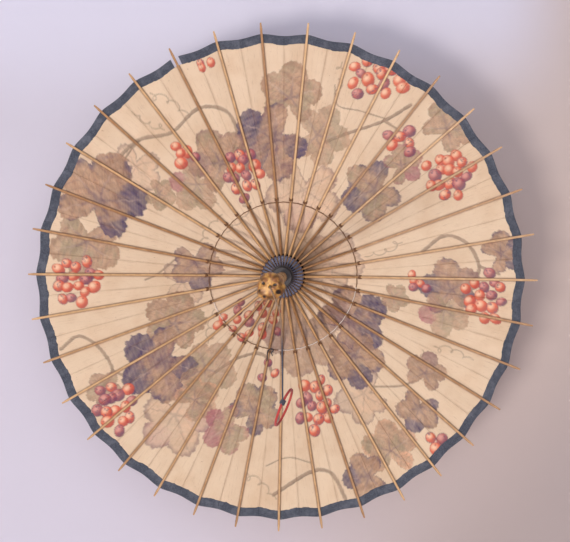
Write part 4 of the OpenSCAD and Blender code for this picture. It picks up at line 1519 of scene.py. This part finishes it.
@dataclass
class RootKnob:
    """The bamboo root knob: a swelling root with growth rings, lobes, root scars and a rounded end.

    Scars are written as share along it, angle in degrees and size in millimetres; bumps add their height.
    """

    plan: Plan
    neck: float = 0.00825
    swell: float = 0.0123
    full_at: float = 0.8
    straight: float = 0.88
    end: float = 0.2
    rings: int = 6
    groove: float = 0.0009
    ridge: float = 0.0006
    scar_depth: float = 0.0008
    scar_lip: float = 0.00035
    scar_run: float = 0.06
    bump_run: float = 0.07
    rows: int = 150
    end_rows: int = 40
    cols: int = 120
    hole: float = 0.0013
    hole_depth: float = 0.008
    bore: float = 0.0066
    socket: float = 0.036
    scars: tuple[tuple[float, float, float], ...] = (
        (0.60, 20, 1.3), (0.62, 105, 1.2), (0.58, 200, 1.4), (0.63, 290, 1.2), (0.76, 60, 1.5),
        (0.78, 150, 1.3), (0.75, 245, 1.5), (0.77, 330, 1.4), (0.90, 15, 1.5), (0.91, 88, 1.3),
        (0.90, 160, 1.6), (0.91, 232, 1.5), (0.92, 300, 1.6), (1.145, 298, 1.8), (1.171, 66, 1.7),
        (1.092, 252, 1.4), (1.09, 210, 1.8), (1.118, 122, 2.8), (1.03, 40, 1.2),
    )
    bumps: tuple[tuple[float, float, float, float], ...] = (
        (1.05, 342, 4.2, 1.0), (1.06, 28, 4.6, 1.0), (1.03, 92, 4.2, 0.8), (1.05, 152, 4.2, 0.8),
        (1.03, 214, 4.6, 0.9), (1.06, 278, 4.2, 0.8),
    )

    def profile(self, share: Array) -> tuple[Array, Array]:
        """Radius and distance along: a sine swelling with ring grooves, then a quarter round to the hole.

        Args:
            share: 0 at the neck, 1 where the end's round starts, more by the end's share at the cord's hole.

        Returns:
            Radius and distance from the neck.
        """
        body = np.minimum(share, 1)
        out = self.neck + (self.swell - self.neck) * np.sin(math.pi / 2 * np.minimum(1, body / self.full_at))
        out = out - self.groove * np.abs(np.cos(math.pi * self.rings * body)) ** 6 * (share < 1)
        bend = np.clip((share - 1) / self.end, 0, 1) * math.pi / 2
        radius = np.where(share > 1, self.hole + (out - self.hole) * np.cos(bend) ** 0.7, out)
        return radius, self.plan.knob_l * (body * self.straight + (1 - self.straight) * np.sin(bend))

    def apart(
        self, grid: tuple[Array, Array, Array], at: float, angle: float, size: float, run: float
    ) -> Array:
        """Distance of every point from a spot on the knob, in units of the spot's size.

        Args:
            grid: share along, angle round and radius of every point.
            at: the spot's share along.
            angle: its angle in degrees.
            size: its size in millimetres.
            run: length that a whole share covers on the end's round.

        Returns:
            The distances.
        """
        along, round_it, wide = grid
        around = wrapped(round_it - math.radians(angle)) * wide
        climb = (along - at) * np.where(along > 1, run, self.plan.knob_l * self.straight)
        return np.hypot(around, climb) / (size / 1000)

    def circle(self, radius: float, y: float) -> Array:
        """A ring of points round the pole."""
        turn = np.linspace(0, TURN, self.cols, endpoint=False)
        return np.stack([radius * np.sin(turn), np.full_like(turn, y), radius * np.cos(turn)], -1)

    def build(self, skin: Material) -> None:
        """Makes the knob.

        The profile is turned round the pole. Three cosines round it make its lobes, a power of a sine its
        ridges, and bell curves its scars and bumps.

        Args:
            skin: the knob's finish.
        """
        plan = self.plan
        share = np.linspace(0, 1, self.rows - self.end_rows)
        share = np.concatenate([share, np.linspace(1, 1 + self.end, self.end_rows + 1)[1:]])
        radius, along = self.profile(share)
        s, t = np.meshgrid(share, np.linspace(0, TURN, self.cols, endpoint=False), indexing="ij")
        wide = radius[:, None] * np.ones_like(t)
        lobes = 0.05 * np.cos(3 * t + 0.7) + 0.035 * np.cos(5 * t + 4 * s) + 0.02 * np.cos(9 * t)
        wide = wide * (1 + (lobes - 0.02) * smooth(0.35, 0.9, s) * smooth(0.0015, 0.006, wide))
        ridge = np.abs(np.sin(2.5 * t + 9 * s)) ** 8 * smooth(0.85, 1.0, s) * smooth(1.2, 1.1, s)
        wide = wide - self.ridge * ridge
        depth, scar, crowns = np.zeros_like(wide), np.zeros_like(wide), np.zeros_like(wide)
        for spot in self.scars:
            reach = self.apart((s, t, wide), *spot, self.scar_run)
            depth += self.scar_depth * np.exp(-(reach**2)) - self.scar_lip * np.exp(-((reach - 1.5) ** 2) * 4)
            scar = np.maximum(scar, smooth(1.0, 0.55, reach))
        for *spot, height in self.bumps:
            crown = np.exp(-(self.apart((s, t, wide), *spot, self.bump_run) ** 2))
            crowns = np.maximum(crowns, crown)
            depth -= height / 1000 * crown
        # painted shade in the crevices between the bumps of the end
        crevice = smooth(0.42, 0.12, crowns) * smooth(0.96, 1.02, s) * smooth(1.16, 1.10, s)
        normal = np.where(s > 1, np.cos((s - 1) / self.end * math.pi / 2), 1.0)
        wide = wide - depth * normal
        place = along[:, None] - depth * np.sqrt(np.maximum(0, 1 - normal**2))
        y = plan.exit_y + plan.knob_l - place
        points = np.stack([wide * np.sin(t), y, wide * np.cos(t)], -1)
        inlet = [self.circle(self.bore, y[0, 0] - deep) for deep in (self.socket, 0.0)]
        outlet = [self.circle(self.hole, y[-1].min() + deep) for deep in (0.0, self.hole_depth)]
        points = np.concatenate([np.stack(inlet), points, np.stack(outlet)]).reshape(-1, 3)
        piece = make_piece("root_knob_piece", points, tube_faces(self.rows + 4, self.cols, True))
        rings = np.abs(np.cos(math.pi * self.rings * np.minimum(s, 1))) ** 10 * (s < 1)
        marks_and_shade = np.zeros((self.rows + 4, self.cols, 4))
        marks_and_shade[2:-2, :, 0] = scar
        # green: growth rings, ridge lines and painted shade in the crevices
        marks_and_shade[2:-2, :, 1] = np.maximum(np.maximum(rings, ridge), crevice)
        # painted shade inside the cord's hole, in the scar colour
        marks_and_shade[-2:, :, 0] = 1
        marks_and_shade[..., 3] = 1
        paint(piece, "marks_and_shade", marks_and_shade.reshape(-1, 4))
        hand_over(piece, skin, "shaft", "root_knob")
        LOG.info("root knob: made")


@dataclass
class HangingCord:
    """The cord from the knob's end, with its hitch round the red ring."""

    plan: Plan
    thick: float = 0.0016
    lay: float = 0.0042
    sides: int = 12
    route: tuple[Point, ...] = (
        (0, -2, 0), (0, 1, 0), (0.4, 4, -0.6), (1.6, 6.6, -2.8), (3.2, 8.2, -6.4), (5, 9, -10.8),
        (6.8, 9.2, -15.4), (8.4, 9.2, -20), (9.5, 9.2, -24.8), (10.1, 9, -29.6), (10.4, 9, -34.4),
        (10.6, 8.8, -39.2), (10.7, 8.8, -44), (10.8, 8.6, -48.8), (10.8, 8.6, -53.6), (10.8, 8.6, -58.4),
        (10.9, 8.4, -63.2), (10.9, 8.4, -68), (11, 8.4, -72.8), (11, 8.2, -77.6), (11.1, 8.2, -82.4),
        (11.1, 8.2, -87.2), (11.2, 8, -92), (11.2, 8, -97),
    )
    hitch: Point = (11.2, 8, -100)
    hitch_turns: float = 3.25
    hitch_half: float = 0.0019
    hitch_lay: float = 0.004
    hitch_steps: int = 90
    hitch_sides: int = 10
    hitch_turn: float = math.radians(20)
    ring_r: float = 0.017
    ring_d: float = 0.0024
    ring_lays: int = 24
    ring_steps: int = 160
    ring_sides: int = 14
    lean: float = math.radians(22)
    twist: float = math.radians(-11)

    def place(self, point: Sequence[float]) -> Array:
        """A route's point, written in millimetres as right, towards the viewer and up from the knob's end."""
        return np.array([point[0] / 1000, self.plan.exit_y - point[1] / 1000, point[2] / 1000])

    def ring_axes(self) -> tuple[Array, Array]:
        """The ring's two directions in its plane: away from the viewer, and up along its lean.

        Returns:
            The two directions.
        """
        back = np.array([-math.sin(self.twist), math.cos(self.twist), 0])
        up = np.array([0.0, 0.0, 1.0])
        turn = np.array([[math.cos(self.lean), 0, math.sin(self.lean)], [0, 1, 0],
                         [-math.sin(self.lean), 0, math.cos(self.lean)]])
        return turn @ back, turn @ up

    def build(self, dark: Material, red: Material) -> None:
        """Makes the cord, its hitch and the ring.

        The cord is a twisted tube along a smooth line, the hitch one along a helix round the ring, and the
        ring one along a circle.

        Args:
            dark: finish of the cord and its hitch.
            red: the ring's finish.
        """
        back, up = self.ring_axes()
        across = np.cross(back, up)
        tie = self.place(self.hitch)
        sine, cosine = math.sin(self.hitch_turn), math.cos(self.hitch_turn)
        centre = tie + self.ring_r * (cosine * back - sine * up)
        spin = np.linspace(0, TURN, self.ring_steps, endpoint=False)
        loop = centre + self.ring_r * (np.cos(spin)[:, None] * back + np.sin(spin)[:, None] * up)
        strands = plied(loop, self.ring_d / 2, self.ring_sides, TURN * self.ring_r / self.ring_lays)
        body = carried_tube(loop, strands, self.ring_sides, across, True)
        faces = tube_faces(self.ring_steps + 1, self.ring_sides) % len(body)
        ring = make_piece("red_ring", body, faces)
        way, out = cosine * up + sine * back, sine * up - cosine * back
        wind = np.linspace(0, TURN * self.hitch_turns, self.hitch_steps)
        reach = self.ring_d / 2 + self.thick * 0.42
        coil = (tie + np.linspace(-self.hitch_half, self.hitch_half, self.hitch_steps)[:, None] * way
                + reach * (np.cos(wind)[:, None] * out + np.sin(wind)[:, None] * across))
        wound = yarn(coil, self.thick * 0.46, self.hitch_sides, self.hitch_lay, tuple(way))
        knot = make_piece("hitch", *wound)
        path = spline(np.array([self.place(p) for p in self.route]), 0.0005)
        cord = make_piece("hang_cord_piece", *yarn(path, self.thick / 2, self.sides, self.lay, (1, 0, 0)))
        hand_over(ring, red, "shaft", "cord_ring")
        hand_over(knot, dark, "shaft", "cord_hitch")
        hand_over(cord, dark, "shaft", "hang_cord")


@dataclass
class Frame:
    """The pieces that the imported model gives: ribs, pole, hub, runner, cap, catch and pegs."""

    nodes: dict[str, Piece]

    def build(self, finishes: dict[str, Material]) -> None:
        """Dresses them.

        Args:
            finishes: node name, or rib for all ribs, to material.
        """
        for name, node in self.nodes.items():
            key = "rib" if name.startswith("rib_") else name
            if key in finishes:
                dress(node, finishes[key])
        LOG.info("frame: %d nodes dressed", len(finishes))


@dataclass(frozen=True)
class Lamp:
    """A square soft lamp that faces the umbrella."""

    name: str
    at: Point
    size: float
    power: float
    colour: Colour
    aim: Point = (0, 0.2, 0)

    def build(self) -> None:
        """Makes the lamp."""
        lamp = bpy.data.lights.new(self.name, "AREA")
        lamp.size, lamp.energy, lamp.color = self.size, self.power, self.colour
        piece = bpy.data.objects.new(self.name, lamp)
        piece.location = self.at
        piece.rotation_euler = (Vector(self.aim) - Vector(self.at)).to_track_quat("-Z", "Y").to_euler()
        bpy.context.scene.collection.objects.link(piece)


@dataclass
class Studio:
    """A pale wall and floor, soft light from the lower left, and the camera before the knob."""

    lamps: tuple[Lamp, ...] = (
        Lamp("key", (-0.70, -1.82, -0.58), 0.5, 34.8, tint(255, 247, 238)),
        Lamp("fill", (0.2, -2.3, 0.35), 1.8, 25.8, tint(246, 243, 250)),
        Lamp("back", (0.6, 2.2, 1.6), 1.6, 22, tint(255, 250, 244)),
    )
    sky: Colour = (0.9, 0.89, 0.93)
    sky_strength: float = 0.30
    camera_at: Point = (0.0342, -1.061, 0.0282)
    pan: float = math.radians(1.354)
    tilt: float = math.radians(0.916)
    lens: float = 64.55
    sensor: float = 36
    wall_y: float = 0.365
    floor_z: float = -0.65
    bend: float = 0.25
    reach: float = 3.2
    side: float = 4.0
    bend_steps: int = 13

    def build(self) -> None:
        """Makes backdrop, lights and camera."""
        scene = bpy.context.scene
        scene.view_settings.view_transform = "Standard"
        self.backdrop()
        for lamp in self.lamps:
            lamp.build()
        world = bpy.data.worlds.new("soft_room")
        scene.world = world
        world.use_nodes = True
        background = world.node_tree.nodes["Background"].inputs
        background[0].default_value, background[1].default_value = (*self.sky, 1), self.sky_strength
        lens = bpy.data.cameras.new("camera")
        lens.lens, lens.sensor_width, lens.sensor_fit = self.lens, self.sensor, "HORIZONTAL"
        camera = bpy.data.objects.new("camera", lens)
        camera.location = self.camera_at
        camera.rotation_euler = (math.pi / 2 - self.tilt, 0, self.pan)
        scene.collection.objects.link(camera)
        scene.camera = camera
        LOG.info("studio: backdrop, lights and camera")

    def backdrop(self) -> None:
        """A wall that bends into the floor by a quarter round, seen only from its front."""
        turn = np.linspace(0, math.pi / 2, self.bend_steps)
        mid_y, mid_z = self.wall_y - self.bend, self.floor_z + self.bend
        line_y = np.concatenate([[-self.reach], mid_y + self.bend * np.sin(turn), [self.wall_y]])
        line_z = np.concatenate([[self.floor_z], mid_z - self.bend * np.cos(turn), [self.reach]])
        edges = [np.stack([np.full(len(line_y), x), line_y, line_z], -1) for x in (-self.side, self.side)]
        count = 2 * np.arange(len(line_y) - 1)
        faces = np.stack([count, count + 1, count + 3, count + 2], -1)
        mesh = bpy.data.meshes.new("backdrop")
        mesh.from_pydata(np.stack(edges, 1).reshape(-1, 3).tolist(), [], faces.tolist())
        mesh.polygons.foreach_set("use_smooth", np.full(len(faces), True))
        piece = bpy.data.objects.new("backdrop", mesh)
        bpy.context.scene.collection.objects.link(piece)
        dress(piece, self.wall())

    def wall(self) -> Material:
        """The wall's paint: lilac, with painted warm shade to the right, painted light across the upper part
        and painted shade at the lower right.

        Returns:
            The material.
        """
        material, weave, shader = new_material("lilac_wall", Roughness=0.9)
        x, _, z = weave.split(weave.where)
        # painted warm shade towards the right
        aslant = weave.math("SUBTRACT", x, weave.times(weave.math("MAXIMUM", z, 0.0), 0.5))
        colour = weave.mix(weave.ramp(aslant, -0.3, 0.45), tint(216, 212, 226), tint(212, 194, 186))
        # painted light on the upper part of the wall
        top = weave.times(weave.ramp(z, 0.2, 0.38), weave.ramp(x, 0.42, 0.28))
        colour = weave.cover(colour, top, 0.9, tint(231, 230, 249))
        # painted shade at the lower right
        low = weave.ramp(weave.math("SUBTRACT", x, z), 0.36, 0.72)
        colour = weave.mix(low, colour, tint(189, 175, 173))
        colour = weave.cover(colour, weave.noise(weave.where, 6, 3), 0.12, tint(190, 180, 188))
        weave.feed(shader.inputs["Base Color"], colour)
        clear = weave.node("ShaderNodeBsdfTransparent").outputs[0]
        behind = weave.node("ShaderNodeNewGeometry").outputs["Backfacing"]
        blend = weave.node("ShaderNodeMixShader", {0: behind, 1: shader.outputs[0], 2: clear})
        weave.feed(material.node_tree.nodes["Material Output"].inputs["Surface"], blend.outputs[0])
        return material


def main() -> None:
    """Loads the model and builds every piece."""
    logging.basicConfig(level=logging.INFO, format="%(message)s")
    for old in list(bpy.data.objects):
        bpy.data.objects.remove(old)
    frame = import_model()
    Studio().build()
    make_groups()
    rib = Bamboo("rib_bamboo", tint(224, 180, 128), tint(166, 116, 68), Grain.RIBS, 0.0014).make()
    stretcher = Bamboo("stretcher_bamboo", tint(216, 168, 114), tint(150, 102, 58), Grain.RIBS, 0.0013).make()
    pole = Bamboo("pole_bamboo", tint(214, 178, 122), tint(164, 120, 72), Grain.POLE, roughness=0.32).make()
    hub = Stained("hub_wood", tint(120, 84, 52), tint(164, 122, 84), 0.6).make()
    # the runner's indigo, with painted shade round the pole
    runner_indigo = Stained("runner_indigo_painted_shade", tint(70, 70, 94), tint(120, 118, 138), 0.5, painted_shade_r=0.0145).make()
    lacquer = Stained("dark_lacquer", tint(52, 42, 42), tint(86, 68, 60), 0.3, 0.6).make()
    thread = PivotThread().make()
    brass = Brass().make()
    slate = Cloth("slate_cloth", tint(54, 60, 74), tint(104, 108, 120), rub=0.6).make()
    dark = Cloth("dark_cord_yarn", tint(52, 54, 66), tint(96, 96, 108), 3600, 0.4, tint(158, 126, 98)).make()
    red = Cloth("red_cord_yarn", tint(168, 44, 42), tint(214, 92, 80), 3600, 0.4).make()
    HangingCord(PLAN).build(dark, red)
    Canopy(PLAN).build(OiledPaper().make(), slate)
    Stretchers(PLAN).build(stretcher)
    Threads(PLAN).build(thread)
    RootKnob(PLAN).build(RootSkin().make())
    Frame(frame["nodes"]).build({
        "rib": rib, "pole": pole, "top_hub": hub, "runner": runner_indigo, "top_cap": lacquer,
        "tip_button": lacquer, "hub_thread": thread, "runner_thread": thread, "hub_peg": rib,
        "knob_peg": pole, "catch": brass, "catch_pin": brass,
    })


if __name__ == "__main__":
    main()
